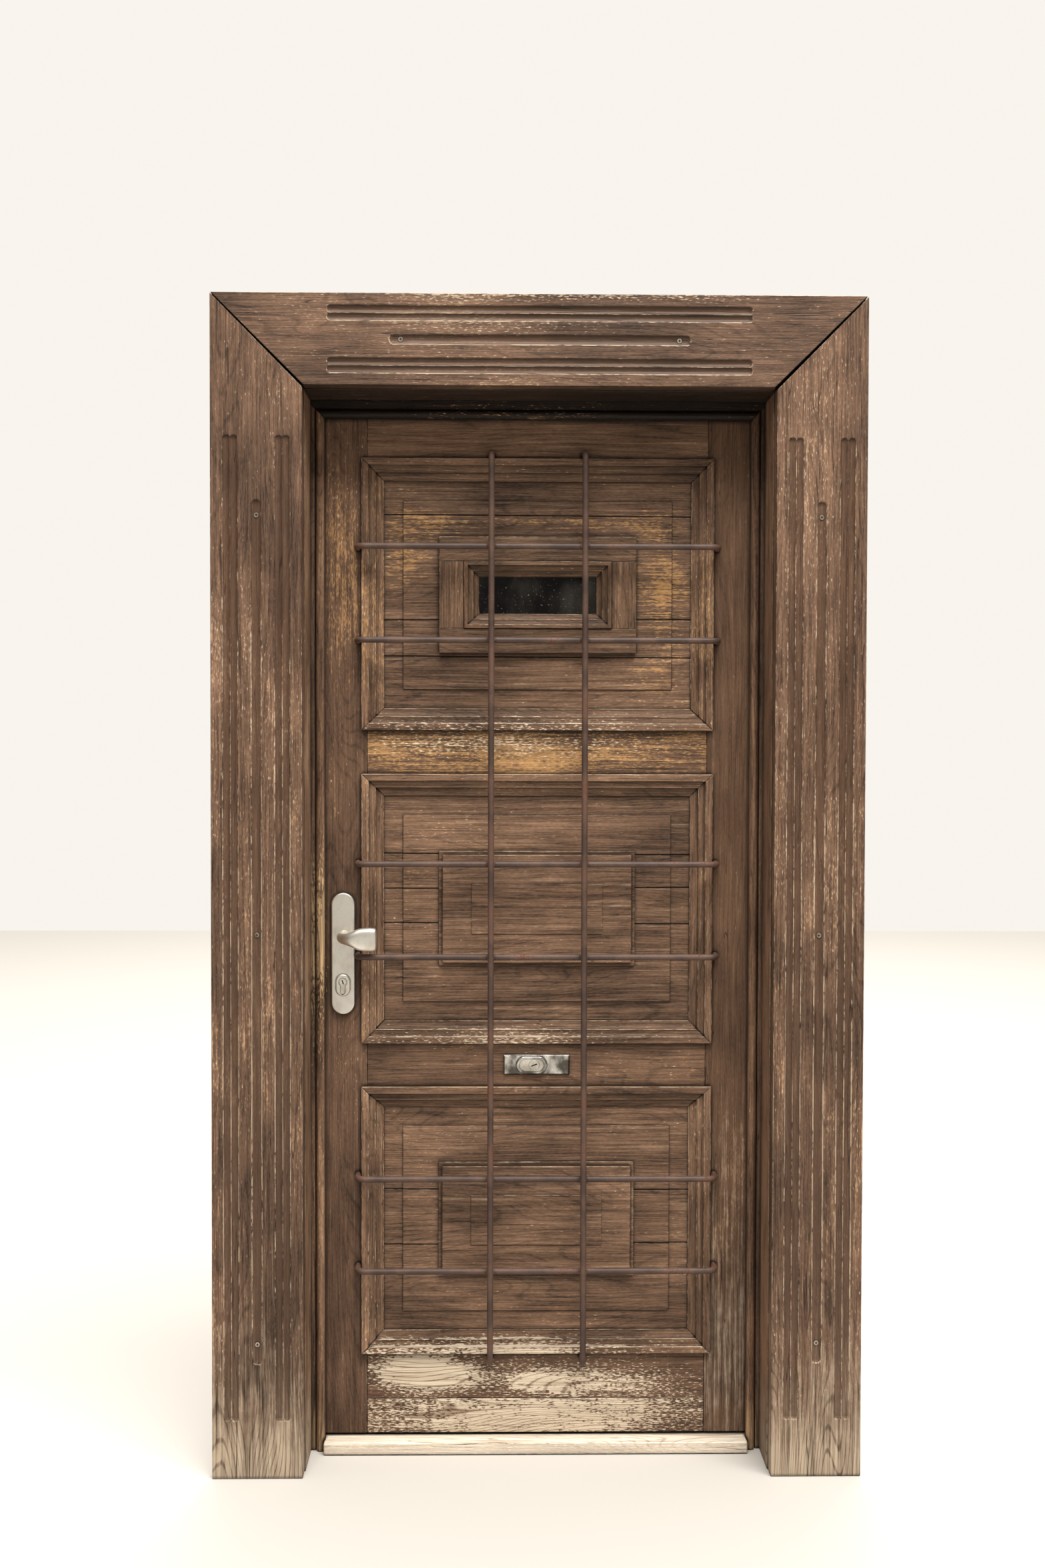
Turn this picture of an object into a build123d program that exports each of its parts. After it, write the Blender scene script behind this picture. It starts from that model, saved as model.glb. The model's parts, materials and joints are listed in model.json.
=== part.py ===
"""Weathered timber front door in its frame, millimetres, +Z up, street side at -Y.

The origin is on the underside of the threshold, at the middle of the opening,
in the plane of the leaf's outer face.
"""
import os

from build123d import *

# Opening and leaf
clear_width = 846.0
threshold_height = 25.0
threshold_nose = 40.0
leaf_thickness = 54.0
stop_cover = 12.0
stop_gap = 1.0
edge_gap = 4.0
bottom_gap = 4.0

# Casing boards and their flutes
reveal_depth = 140.0
casing_width = 174.0
casing_thickness = 32.0
casing_setback = 2.0
flute_width = 15.0
flute_depth = 4.0
flute_spacing = 14.5
double_flute_offset = 49.5
single_flute_width = 19.5
single_flute_depth = 4.5
leg_double_bottom = 111.0
leg_double_top_gap = 95.0
leg_single_bottom = 221.0
leg_single_top_gap = 216.0
head_double_gap = 47.0
head_single_gap = 165.0

# Casing screws
screw_low_height = 260.0
screw_middle_height = 1050.0
screw_high_drop = 420.0
head_screw_half_spacing = 265.0
screw_head_radius = 4.5
screw_head_height = 3.0
screw_shank_radius = 2.6
screw_thread_radius = 2.2
screw_grip_length = 28.0
screw_clearance = 0.1

# Lining and jambs
lining_thickness = 20.0
jamb_side_face = 27.0
jamb_head_face = 36.0
jamb_width = 62.0
jamb_face_proud = 14.0
bead_radius = 8.0
quirk_width = 2.0
quirk_depth = 3.0

# Stiles and rails
stile_width = 96.0
opening_height = 517.0
cross_rail_height = 108.5
bottom_rail_height = 104.0
top_rail_height = 99.0
kick_board_height = 70.0
tenon_length = 50.0
tenon_thickness = 16.0
tenon_shoulder = 16.0
joint_clearance = 0.1

# Panels, bosses and mouldings
panel_setback = 10.0
panel_thickness = 22.0
groove_depth = 10.0
groove_clearance = 0.5
field_inset = 38.0
field_rise = 2.5
boss_inset_share = 0.384
boss_rise = 12.0
boss_foot = 4.0
boss_edge = 7.5
tablet_inset = 65.0
tablet_rise = 1.5
moulding_width = 44.0
moulding_lap = 11.0
moulding_proud = 10.0
fillet_band_width = 14.5
cove_band_width = 13.5
fillet_step = 3.0
cove_drop = 4.0
cove_step = 3.0
moulding_lip = 3.0
cove_sag_share = 0.1

# Window in the upper panel
surround_share = 0.424
window_moulding_share = 0.451
window_moulding_rise = 2.5
window_band_width = 8.0
window_cove_width = 11.0
window_step = 2.0
window_cove_drop = 4.5
window_lip = 4.0
glass_lap = 7.0
glass_thickness = 4.0
glass_setback = 2.0
glass_clearance = 1.0

# Grille bars
bar_radius = 6.0
bar_bend_radius = 18.0
bar_stand_off = 40.0
bar_stack_gap = 0.2
bar_leg_margin = 6.5
bar_seat_depth = 15.0
bar_clearance = 0.15
crossbar_pitch = 184.0
upright_half_spacing = 92.0

# Hinges
hinge_low_height = 260.0
hinge_middle_height = 1075.0
hinge_high_drop = 200.0
hinge_height = 110.0
hinge_plate_width = 32.0
hinge_plate_thickness = 1.8
knuckle_radius = 7.5
knuckle_gap = 0.3
barrel_gap = 0.5
hinge_pin_radius = 4.0
running_clearance = 0.05
pocket_clearance = 0.1

# Main lock and its furniture
backset = 48.5
spindle_height = 1032.0
cylinder_spacing = 90.0
handle_plate_width = 46.0
handle_plate_height = 242.0
handle_plate_drop = 34.0
outer_plate_thickness = 10.0
inner_plate_thickness = 8.0
plate_edge_radius = 2.5
guard_width = 28.5
guard_height = 42.5
guard_rise = 6.0
guard_drop = 6.0
profile_radius = 8.5
profile_fin_width = 10.0
profile_height = 33.0
profile_clearance = 0.15
cylinder_recess = 1.0
plug_radius = 6.5
key_slot_width = 2.0
key_slot_height = 9.0
key_slot_depth = 12.0
key_slot_angle_deg = 17.0
forend_thickness = 3.0
forend_width = 20.0
forend_height = 236.0
lock_case_depth = 76.0
lock_case_height = 186.0
lock_case_thickness = 16.0
lock_case_drop = 42.0
lock_wall = 1.5
bolt_clearance = 0.4
bolt_thickness = 12.0
latch_rise = 20.0
latch_height = 26.0
latch_length = 28.0
latch_throw = 12.0
latch_bevel = 8.0
latch_tail_height = 8.0
latch_tail_length = 40.0
deadbolt_rise = 24.0
deadbolt_height = 36.0
deadbolt_length = 37.0
deadbolt_throw = 20.0
strike_thickness = 2.0
strike_width = 24.0
strike_height = 190.0
strike_clearance = 1.5

# Fixed knob outside
knob_stem_radius = 9.0
knob_reach = 46.0
knob_neck_depth = 36.0
knob_width = 49.0
knob_height = 47.0
knob_depth = 24.0
knob_corner_radius = 12.0
knob_edge_radius = 6.0
knob_neck_share = 0.8

# Lever inside
lever_angle_deg = 35.0
spindle_size = 8.0
spindle_hole_clearance = 1.5
spindle_case_reach = 5.0
collar_radius = 9.0
collar_reach = 44.0
lever_length = 118.0
lever_height = 19.0
lever_thickness = 13.0
lever_edge_radius = 5.0
collar_seat = 6.0

# Centre lock and its cross bar
rosette_width = 132.0
rosette_height = 40.0
rosette_thickness = 4.0
rosette_bevel = 2.5
oval_width = 62.0
oval_height = 35.0
oval_rise = 5.0
oval_offset = 10.0
centre_cylinder_width = 49.0
centre_cylinder_height = 25.5
centre_plug_radius = 10.5
centre_plug_offset = 5.0
centre_slot_width = 2.2
centre_slot_height = 13.0
centre_slot_angle_deg = 68.0
centre_case_width = 124.0
centre_case_height = 84.0
centre_case_depth = 30.0
centre_case_wall = 2.0
cross_bar_thickness = 8.0
cross_bar_height = 30.0
cross_bar_stand_off = 8.0
cross_bar_withdrawn = 50.0
cross_bar_tail = 250.0
cross_bar_throw = 65.0
cross_bar_clearance = 0.4
guide_width = 30.0
guide_wall = 4.0
guide_foot = 14.0
guide_edge_inset = 130.0
guide_tail_inset = 40.0
keeper_edge_gap = 5.0
keeper_width = 38.0
keeper_clearance = 1.0

# One overrun serves all cuts
overrun = 5.0

# Places worked out from the driving dimensions
clear_half = clear_width / 2
leaf_half = clear_half + stop_cover
leaf_bottom = threshold_height + bottom_gap
lower_opening = leaf_bottom + kick_board_height + bottom_rail_height
opening_pitch = opening_height + cross_rail_height
opening_bottoms = [lower_opening + row * opening_pitch for row in range(3)]
opening_centres = [low + opening_height / 2 for low in opening_bottoms]
top_rail_bottom = opening_bottoms[-1] + opening_height
lock_rail_bottom = opening_bottoms[0] + opening_height
lock_rail_centre = lock_rail_bottom + cross_rail_height / 2
leaf_top = top_rail_bottom + top_rail_height
clear_top = leaf_top - stop_cover
rebate_half = leaf_half + edge_gap
jamb_outer_half = clear_half + jamb_width
jamb_outer_top = clear_top + jamb_width
lining_half = clear_half + jamb_side_face
lining_top = clear_top + jamb_head_face
casing_inner_half = lining_half + casing_setback
casing_inner_top = lining_top + casing_setback
casing_outer_half = casing_inner_half + casing_width
casing_outer_top = casing_inner_top + casing_width
casing_front = -reveal_depth
casing_back = casing_front + casing_thickness
opening_half = leaf_half - stile_width
moulding_half = opening_half + moulding_lap

field_half_width = moulding_half - moulding_width - field_inset
field_half_height = opening_height / 2 + moulding_lap - moulding_width - field_inset
boss_inset = boss_inset_share * field_half_height
boss_half_width = field_half_width - boss_inset
boss_half_height = field_half_height - boss_inset
field_face = panel_setback - field_rise
boss_face = field_face - boss_rise
surround_width = surround_share * boss_half_height
window_half_width = boss_half_width - surround_width
window_half_height = boss_half_height - surround_width
window_moulding_width = window_moulding_share * window_half_height
sight_half_width = window_half_width - window_moulding_width
sight_half_height = window_half_height - window_moulding_width
pane_hole_half_width = sight_half_width + glass_lap + glass_clearance
pane_hole_half_height = sight_half_height + glass_lap + glass_clearance
glass_front = panel_setback + glass_setback
glass_back = glass_front + glass_thickness
panel_back = panel_setback + panel_thickness

hinge_axis_x = leaf_half + edge_gap / 2
hinge_axis_y = leaf_thickness + barrel_gap + knuckle_radius
hinge_heights = [hinge_low_height, hinge_middle_height, leaf_top - hinge_high_drop]

lock_x = -leaf_half + backset
cylinder_height = spindle_height - cylinder_spacing
plate_centre = spindle_height - handle_plate_drop
guard_centre = cylinder_height - guard_drop
lock_mid_y = leaf_thickness / 2
lock_case_centre = spindle_height - lock_case_drop
latch_centre = spindle_height + latch_rise
deadbolt_centre = cylinder_height + deadbolt_rise
centre_plug_x = -centre_plug_offset
cross_bar_front = leaf_thickness + cross_bar_stand_off
cross_bar_back = cross_bar_front + cross_bar_thickness
cross_bar_end = -leaf_half + cross_bar_withdrawn


def block(x_span, y_span, z_span):
    """Straight block between two ends on each axis."""
    sizes = [span[1] - span[0] for span in (x_span, y_span, z_span)]
    corner = (x_span[0], y_span[0], z_span[0])
    return Pos(*corner) * Box(*sizes, align=(Align.MIN, Align.MIN, Align.MIN))


def around(middle, size):
    """The two ends of a size about its middle."""
    return (middle - size / 2, middle + size / 2)


def rod(radius, start, direction, length):
    """Round rod from a start point along a direction."""
    shape = Cylinder(radius, length, align=(Align.CENTER, Align.CENTER, Align.MIN))
    return Plane(start, z_dir=direction).location * shape


def slab(sketch, y_front, y_back):
    """Solid of a sketch drawn in x and z, between two depths."""
    plane = Plane((0, y_back, 0), x_dir=(1, 0, 0), z_dir=(0, -1, 0))
    return extrude(plane * sketch, y_back - y_front)


def mitred_bar(section, width, corner, inward, run, length, cut_start=True, cut_end=True):
    """Bar of one section from a corner, cut at 45 degrees where it meets its neighbours."""
    bar = extrude(section, length, dir=(0, 0, 1))
    start = width if cut_start else 0
    end = length - width if cut_end else length
    outline = make_face(Polyline((0, 0), (width, start), (width, end), (0, length), close=True))
    wedge = extrude(Plane.XZ * outline, reveal_depth, both=True)
    return Plane(corner, x_dir=inward, z_dir=run).location * (bar & wedge)


def mitred_frame(section, width, face_y, half_width, low, high):
    """Mitred bars round a rectangle: the two rails, then the two sides."""
    across = 2 * half_width
    up = high - low
    bottom = mitred_bar(section, width, (-half_width, face_y, low), (0, 0, 1), (1, 0, 0), across)
    top = mitred_bar(section, width, (half_width, face_y, high), (0, 0, -1), (-1, 0, 0), across)
    left = mitred_bar(section, width, (-half_width, face_y, high), (1, 0, 0), (0, 0, -1), up)
    right = mitred_bar(section, width, (half_width, face_y, low), (-1, 0, 0), (0, 0, 1), up)
    return [bottom, top], [left, right]


def three_sided(section, width, face_y, half_width, high):
    """Left leg, right leg and head of a frame that stands on the floor."""
    left = mitred_bar(section, width, (-half_width, face_y, high), (1, 0, 0), (0, 0, -1), high,
                      cut_end=False)
    right = mitred_bar(section, width, (half_width, face_y, 0), (-1, 0, 0), (0, 0, 1), high,
                       cut_start=False)
    head = mitred_bar(section, width, (half_width, face_y, high), (0, 0, -1), (-1, 0, 0),
                      2 * half_width)
    return left, right, head


def hollow_arc(start, end, sag_share):
    """Arc between two points of an outline, bowed in towards the timber."""
    middle = ((start[0] + end[0]) / 2, (start[1] + end[1]) / 2)
    run = (end[0] - start[0], end[1] - start[1])
    bow = (middle[0] + run[1] * sag_share, middle[1] - run[0] * sag_share)
    return ThreePointArc(start, bow, end)


# Casing

def flute_cutter(width, depth, start, end):
    """Round-nosed cutter along one stopped flute, sunk to the flute's depth."""
    radius = (width ** 2 / 4 + depth ** 2) / (2 * depth)
    end_inset = width / 2
    centre_y = casing_front + depth - radius
    first = Vector(start[0], centre_y, start[1])
    last = Vector(end[0], centre_y, end[1])
    along = (last - first).normalized()
    first = first + along * end_inset
    last = last - along * end_inset
    core = rod(radius, first, along, (last - first).length)
    return core + Pos(*first) * Sphere(radius) + Pos(*last) * Sphere(radius)


def flute_rows():
    """Place across a board, width, depth and whether the flute is the single one."""
    rows = [(0, single_flute_width, single_flute_depth, True)]
    for pair in (-double_flute_offset, double_flute_offset):
        for half in (-flute_spacing / 2, flute_spacing / 2):
            rows.append((pair + half, flute_width, flute_depth, False))
    return rows


def casing_boards():
    """Legs and head with their stopped flutes and screw holes."""
    section = make_face(Polyline((0, 0), (casing_width, 0), (casing_width, -casing_thickness),
                                 (0, -casing_thickness), close=True))
    left, right, head = three_sided(section, casing_width, casing_front, casing_outer_half,
                                    casing_outer_top)
    leg_middle = casing_inner_half + casing_width / 2
    head_middle = casing_inner_top + casing_width / 2
    for place, width, depth, single in flute_rows():
        low = leg_single_bottom if single else leg_double_bottom
        high = casing_inner_top - (leg_single_top_gap if single else leg_double_top_gap)
        reach = casing_inner_half - (head_single_gap if single else head_double_gap)
        left -= flute_cutter(width, depth, (-leg_middle + place, low), (-leg_middle + place, high))
        right -= flute_cutter(width, depth, (leg_middle + place, low), (leg_middle + place, high))
        head -= flute_cutter(width, depth, (-reach, head_middle + place), (reach, head_middle + place))
    holes = casing_screw_solids(screw_clearance)
    for hole in holes:
        left -= hole
        right -= hole
        head -= hole
    return left, right, head


def casing_screw_solids(margin=0):
    """Screws through the single flutes into the wall, grown by a margin for their holes."""
    leg_middle = casing_inner_half + casing_width / 2
    head_middle = casing_inner_top + casing_width / 2
    places = [(side * leg_middle, height) for side in (-1, 1)
              for height in (screw_low_height, screw_middle_height, casing_outer_top - screw_high_drop)]
    places += [(side * head_screw_half_spacing, head_middle) for side in (-1, 1)]
    face = casing_front + single_flute_depth
    screws = []
    for x, z in places:
        head = rod(screw_head_radius + margin, (x, face, z), (0, 1, 0), screw_head_height)
        shank = rod(screw_shank_radius + margin, (x, face, z), (0, 1, 0), casing_back - face)
        thread = rod(screw_thread_radius, (x, casing_back, z), (0, 1, 0), screw_grip_length)
        screws.append(head + shank + thread)
    return screws


# Lining, jambs and threshold

def lining_boards():
    """Boards that line the reveal between the casing and the jambs."""
    depth = (casing_back, -jamb_face_proud)
    left = block((-lining_half - lining_thickness, -lining_half), depth, (0, lining_top))
    right = block((lining_half, lining_half + lining_thickness), depth, (0, lining_top))
    outer = lining_half + lining_thickness
    head = block((-outer, outer), depth, (lining_top, lining_top + lining_thickness))
    return left, right, head


def jamb_section():
    """Rebated jamb with a beaded stop: u from the wall side inwards, v towards the street."""
    stop_edge = jamb_width - (stop_cover + edge_gap)
    bead_start = jamb_width - 2 * bead_radius
    quirk_start = bead_start - quirk_width
    quirk_floor = jamb_face_proud - quirk_depth
    straight = Polyline((jamb_width, jamb_face_proud), (jamb_width, stop_gap), (stop_edge, stop_gap),
                        (stop_edge, -leaf_thickness), (0, -leaf_thickness), (0, jamb_face_proud),
                        (quirk_start, jamb_face_proud), (quirk_start, quirk_floor),
                        (bead_start, quirk_floor), (bead_start, jamb_face_proud))
    bead = ThreePointArc((bead_start, jamb_face_proud),
                         (bead_start + bead_radius, jamb_face_proud + bead_radius),
                         (jamb_width, jamb_face_proud))
    return make_face(straight + bead)


def jamb_members():
    """Jambs and head with the hinge and strike pockets."""
    left, right, head = three_sided(jamb_section(), jamb_width, 0, jamb_outer_half, jamb_outer_top)
    for height in hinge_heights:
        right -= hinge_plate(rebate_half, 1, height, pocket_clearance)
    left -= strike_blank(pocket_clearance)
    for middle, height, throw in bolt_ways():
        left -= block((-leaf_half - throw - strike_clearance, -rebate_half),
                      around(lock_mid_y, bolt_thickness + 2 * strike_clearance),
                      around(middle, height + 2 * strike_clearance))
    return left, right, head


def threshold_solid():
    """Timber threshold under the leaf, notched round the stops."""
    under_leaf = block((-rebate_half, rebate_half), (-stop_gap, leaf_thickness), (0, threshold_height))
    nose = block((-clear_half, clear_half), (-threshold_nose, -stop_gap), (0, threshold_height))
    return under_leaf + nose


# Hinges

def hinge_plate(face_x, side, height, margin=0):
    """Flat of one hinge half, let into the timber on one side of the gap."""
    ends = sorted((face_x, face_x + side * (hinge_plate_thickness + margin)))
    depth = (leaf_thickness - hinge_plate_width - margin, leaf_thickness)
    return block(ends, depth, around(height, hinge_height + 2 * margin))


def hinge_neck(face_x, side, z_span):
    """Strap from the flat into the knuckle."""
    ends = sorted((face_x, face_x + side * hinge_plate_thickness))
    return block(ends, (leaf_thickness, hinge_axis_y), z_span)


def hinge_halves():
    """Frame halves with their pins, and leaf halves that lift off them."""
    frame_halves = []
    leaf_halves = []
    for height in hinge_heights:
        low, high = around(height, hinge_height)
        lower = (low, height)
        upper = (height + knuckle_gap, high)
        axis = (hinge_axis_x, hinge_axis_y)
        pin_length = high - low - hinge_pin_radius
        barrel = rod(knuckle_radius, (*axis, lower[0]), (0, 0, 1), lower[1] - lower[0])
        pin = rod(hinge_pin_radius, (*axis, low), (0, 0, 1), pin_length)
        fixed = hinge_plate(rebate_half, 1, height) + hinge_neck(rebate_half, 1, lower) + barrel
        frame_halves.append(fixed + pin)
        knuckle = rod(knuckle_radius, (*axis, upper[0]), (0, 0, 1), upper[1] - upper[0])
        bore = rod(hinge_pin_radius + running_clearance, (*axis, low), (0, 0, 1), pin_length + knuckle_gap)
        moving = hinge_plate(leaf_half, -1, height) + hinge_neck(leaf_half, -1, upper) + knuckle
        leaf_halves.append(moving - bore)
    return frame_halves, leaf_halves


# Leaf timber

def tenon(side, z_span, margin=0):
    """Tenon of a rail end, or its mortise when grown by a margin."""
    inner = side * (opening_half - joint_clearance)
    outer = side * (opening_half + tenon_length + margin)
    trimmed = (z_span[0] + tenon_shoulder - margin, z_span[1] - tenon_shoulder + margin)
    return block(sorted((inner, outer)), around(lock_mid_y, tenon_thickness + 2 * margin), trimmed)


def groove(x_span, z_span):
    """Slot that takes a panel's edge."""
    return block(x_span, (panel_setback, panel_back + groove_clearance), z_span)


def rail_spans():
    """Height span of each rail, by name."""
    kick_top = leaf_bottom + kick_board_height
    spans = {"kick_board": (leaf_bottom, kick_top),
             "bottom_rail": (kick_top, opening_bottoms[0]),
             "lock_rail": (lock_rail_bottom, opening_bottoms[1]),
             "upper_cross_rail": (opening_bottoms[1] + opening_height, opening_bottoms[2]),
             "top_rail": (top_rail_bottom, leaf_top)}
    return spans


def rails():
    """Rails between the stiles, tenoned at both ends and grooved for the panels."""
    across = (-opening_half, opening_half)
    timber = {}
    for name, span in rail_spans().items():
        rail = block(across, (0, leaf_thickness), span)
        for low in opening_bottoms:
            rail -= groove(across, (low - groove_depth, low + opening_height + groove_depth))
        for side in (-1, 1):
            rail += tenon(side, span)
        timber[name] = rail - lock_pocket()
    for x in (-upright_half_spacing, upright_half_spacing):
        for name, z in zip(("bottom_rail", "top_rail"), upright_ends()):
            timber[name] -= bar_hole(x, z)
    timber["lock_rail"] -= slab(centre_cylinder_outline(profile_clearance), -overrun,
                                leaf_thickness + overrun)
    return timber


def stiles():
    """Lock stile and hinge stile with mortises, grooves, bar holes and pockets."""
    timber = []
    for side in (-1, 1):
        ends = sorted((side * opening_half, side * leaf_half))
        stile = block(ends, (0, leaf_thickness), (leaf_bottom, leaf_top))
        slot = sorted((side * opening_half, side * (opening_half + groove_depth)))
        for low in opening_bottoms:
            stile -= groove(slot, (low - groove_depth, low + opening_height + groove_depth))
        for span in rail_spans().values():
            stile -= tenon(side, span, joint_clearance)
        for z in crossbar_heights():
            stile -= bar_hole(side * crossbar_leg_x(), z)
        timber.append(stile)
    lock_stile, hinge_stile = timber
    lock_stile -= lock_pocket()
    for height in hinge_heights:
        hinge_stile -= hinge_plate(leaf_half, -1, height, pocket_clearance)
    return lock_stile, hinge_stile


def panel_solids():
    """Panels with a raised field, held in the grooves; the upper one is cut for the window."""
    tongue = groove_depth - groove_clearance
    panels = []
    for low, centre in zip(opening_bottoms, opening_centres):
        border = block((-opening_half - tongue, opening_half + tongue),
                       (panel_setback + groove_clearance / 2, panel_back),
                       (low - tongue, low + opening_height + tongue))
        field = block((-field_half_width, field_half_width), (field_face, panel_back),
                      around(centre, 2 * field_half_height))
        panels.append(border + field)
    hole = block((-pane_hole_half_width, pane_hole_half_width), (-overrun, panel_back + overrun),
                 around(opening_centres[2], 2 * pane_hole_half_height))
    panels[2] -= hole
    return panels


def boss_solids():
    """Raised bosses with a moulded edge and a centre tablet, planted on the fields."""
    bosses = []
    for centre in opening_centres[:2]:
        foot = block((-boss_half_width, boss_half_width), (field_face - boss_foot, field_face),
                     around(centre, 2 * boss_half_height))
        crown_half_width = boss_half_width - boss_edge
        crown_half_height = boss_half_height - boss_edge
        crown = block((-crown_half_width, crown_half_width), (boss_face, field_face),
                      around(centre, 2 * crown_half_height))
        tablet = block((tablet_inset - boss_half_width, boss_half_width - tablet_inset),
                       (boss_face - tablet_rise, field_face),
                       around(centre, 2 * (boss_half_height - tablet_inset)))
        bosses.append(foot + crown + tablet)
    return bosses


def moulding_section():
    """Bolection section: a flat fillet, then two hollow bands that step down to the panel."""
    band_end = fillet_band_width + cove_band_width
    first_floor = moulding_proud - fillet_step - cove_drop
    second_top = first_floor - cove_step
    lip_top = moulding_lip - panel_setback
    start = Polyline((moulding_lap, 0), (0, 0), (0, moulding_proud), (fillet_band_width, moulding_proud),
                     (fillet_band_width, moulding_proud - fillet_step))
    first = hollow_arc((fillet_band_width, moulding_proud - fillet_step), (band_end, first_floor),
                       cove_sag_share)
    step = Line((band_end, first_floor), (band_end, second_top))
    second = hollow_arc((band_end, second_top), (moulding_width, lip_top), cove_sag_share)
    close = Polyline((moulding_width, lip_top), (moulding_width, -panel_setback),
                     (moulding_lap, -panel_setback), (moulding_lap, 0))
    return make_face(start + first + step + second + close)


def window_moulding_section():
    """Section of the window's moulding, from the surround down to the glass."""
    top = window_moulding_rise - boss_face
    band_end = window_band_width + window_cove_width
    first_top = top - window_step
    first_floor = first_top - window_cove_drop
    second_top = first_floor - window_step
    lip_top = window_lip - glass_front
    bed_end = window_moulding_width - glass_lap - glass_clearance
    start = Polyline((0, -field_face), (0, top), (window_band_width, top), (window_band_width, first_top))
    first = hollow_arc((window_band_width, first_top), (band_end, first_floor), cove_sag_share)
    step = Line((band_end, first_floor), (band_end, second_top))
    second = hollow_arc((band_end, second_top), (window_moulding_width, lip_top), cove_sag_share)
    close = Polyline((window_moulding_width, lip_top), (window_moulding_width, -glass_front),
                     (bed_end, -glass_front), (bed_end, -field_face), (0, -field_face))
    return make_face(start + first + step + second + close)


def window_pieces():
    """Surround boards, moulding, glass and inner beads of the small window."""
    centre = opening_centres[2]
    depth = (boss_face, field_face)
    boards = []
    for side in (-1, 1):
        rail_ends = sorted((side * window_half_height, side * boss_half_height))
        boards.append(block((-boss_half_width, boss_half_width), depth,
                            (centre + rail_ends[0], centre + rail_ends[1])))
        post_ends = sorted((side * window_half_width, side * boss_half_width))
        boards.append(block(post_ends, depth, around(centre, 2 * window_half_height)))
    top_and_bottom, left_and_right = mitred_frame(
        window_moulding_section(), window_moulding_width, 0, window_half_width,
        centre - window_half_height, centre + window_half_height)
    glass = block((-sight_half_width - glass_lap, sight_half_width + glass_lap), (glass_front, glass_back),
                  around(centre, 2 * (sight_half_height + glass_lap)))
    bead_width = glass_lap + glass_clearance
    bead = make_face(Polyline((0, -panel_back), (bead_width, -panel_back), (bead_width, -glass_back),
                              (0, -glass_back), close=True))
    bead_rails, bead_sides = mitred_frame(bead, bead_width, 0, pane_hole_half_width,
                                          centre - pane_hole_half_height, centre + pane_hole_half_height)
    return boards, top_and_bottom + left_and_right, glass, bead_rails + bead_sides


# Grille

def crossbar_leg_x():
    """Place of a cross bar's bent end, just outside the moulding."""
    return moulding_half + bar_leg_margin


def crossbar_heights():
    """Two cross bars to each panel, from the top down."""
    heights = []
    for centre in reversed(opening_centres):
        heights += [centre + crossbar_pitch / 2, centre - crossbar_pitch / 2]
    return heights


def upright_ends():
    """Heights of an upright's two bent ends, just outside the mouldings."""
    low = opening_bottoms[0] - moulding_lap - bar_leg_margin
    high = top_rail_bottom + moulding_lap + bar_leg_margin
    return low, high


def bar_hole(x, z):
    """Drilled hole for a bar's bent end."""
    return rod(bar_radius + bar_clearance, (x, -overrun, z), (0, 1, 0), bar_seat_depth + overrun)


def bent_bar(first, last, stand_off):
    """Round bar between two holes in the leaf, standing off its face with both ends bent back."""
    points = [(first[0], bar_seat_depth, first[1]), (first[0], -stand_off, first[1]),
              (last[0], -stand_off, last[1]), (last[0], bar_seat_depth, last[1])]
    path = FilletPolyline(*points, radius=bar_bend_radius)
    return sweep(Plane(path @ 0, z_dir=path % 0) * Circle(bar_radius), path=path)


def grille():
    """Six cross bars and two uprights in front of them."""
    bars = {}
    reach = crossbar_leg_x()
    for number, z in enumerate(crossbar_heights(), start=1):
        bars[f"grille_crossbar_{number}"] = bent_bar((-reach, z), (reach, z), bar_stand_off)
    low, high = upright_ends()
    upright_stand_off = bar_stand_off + 2 * bar_radius + bar_stack_gap
    for name, x in (("left", -upright_half_spacing), ("right", upright_half_spacing)):
        bars[f"grille_upright_{name}"] = bent_bar((x, low), (x, high), upright_stand_off)
    return bars


# Main lock

def bolt_ways():
    """Centre height, height and throw of the latch and of the deadbolt."""
    return [(latch_centre, latch_height, latch_throw), (deadbolt_centre, deadbolt_height, deadbolt_throw)]


def cylinder_outline(margin=0):
    """Profile of the lock cylinder: a round top over a narrow fin."""
    fin_radius = profile_fin_width / 2
    fin_drop = profile_height - profile_radius - fin_radius
    fin = Pos(0, -fin_drop / 2) * Rectangle(profile_fin_width + 2 * margin, fin_drop)
    foot = Pos(0, -fin_drop) * Circle(fin_radius + margin)
    return Pos(lock_x, cylinder_height) * (Circle(profile_radius + margin) + fin + foot)


def key_plug(x, z, radius, span, slot_width, slot_height, slot_angle_deg):
    """Turning plug with a key slot in each end."""
    plug = rod(radius, (x, span[0], z), (0, 1, 0), span[1] - span[0])
    slot = Pos(x, z) * Rectangle(slot_width, slot_height, rotation=slot_angle_deg)
    plug -= slab(slot, span[0], span[0] + key_slot_depth)
    plug -= slab(slot, span[1] - key_slot_depth, span[1])
    return plug


def handle_plate(y_front, y_back):
    """Long plate with rounded ends."""
    outline = Pos(lock_x, plate_centre) * SlotOverall(handle_plate_height, handle_plate_width, rotation=90)
    return slab(outline, y_front, y_back)


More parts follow.
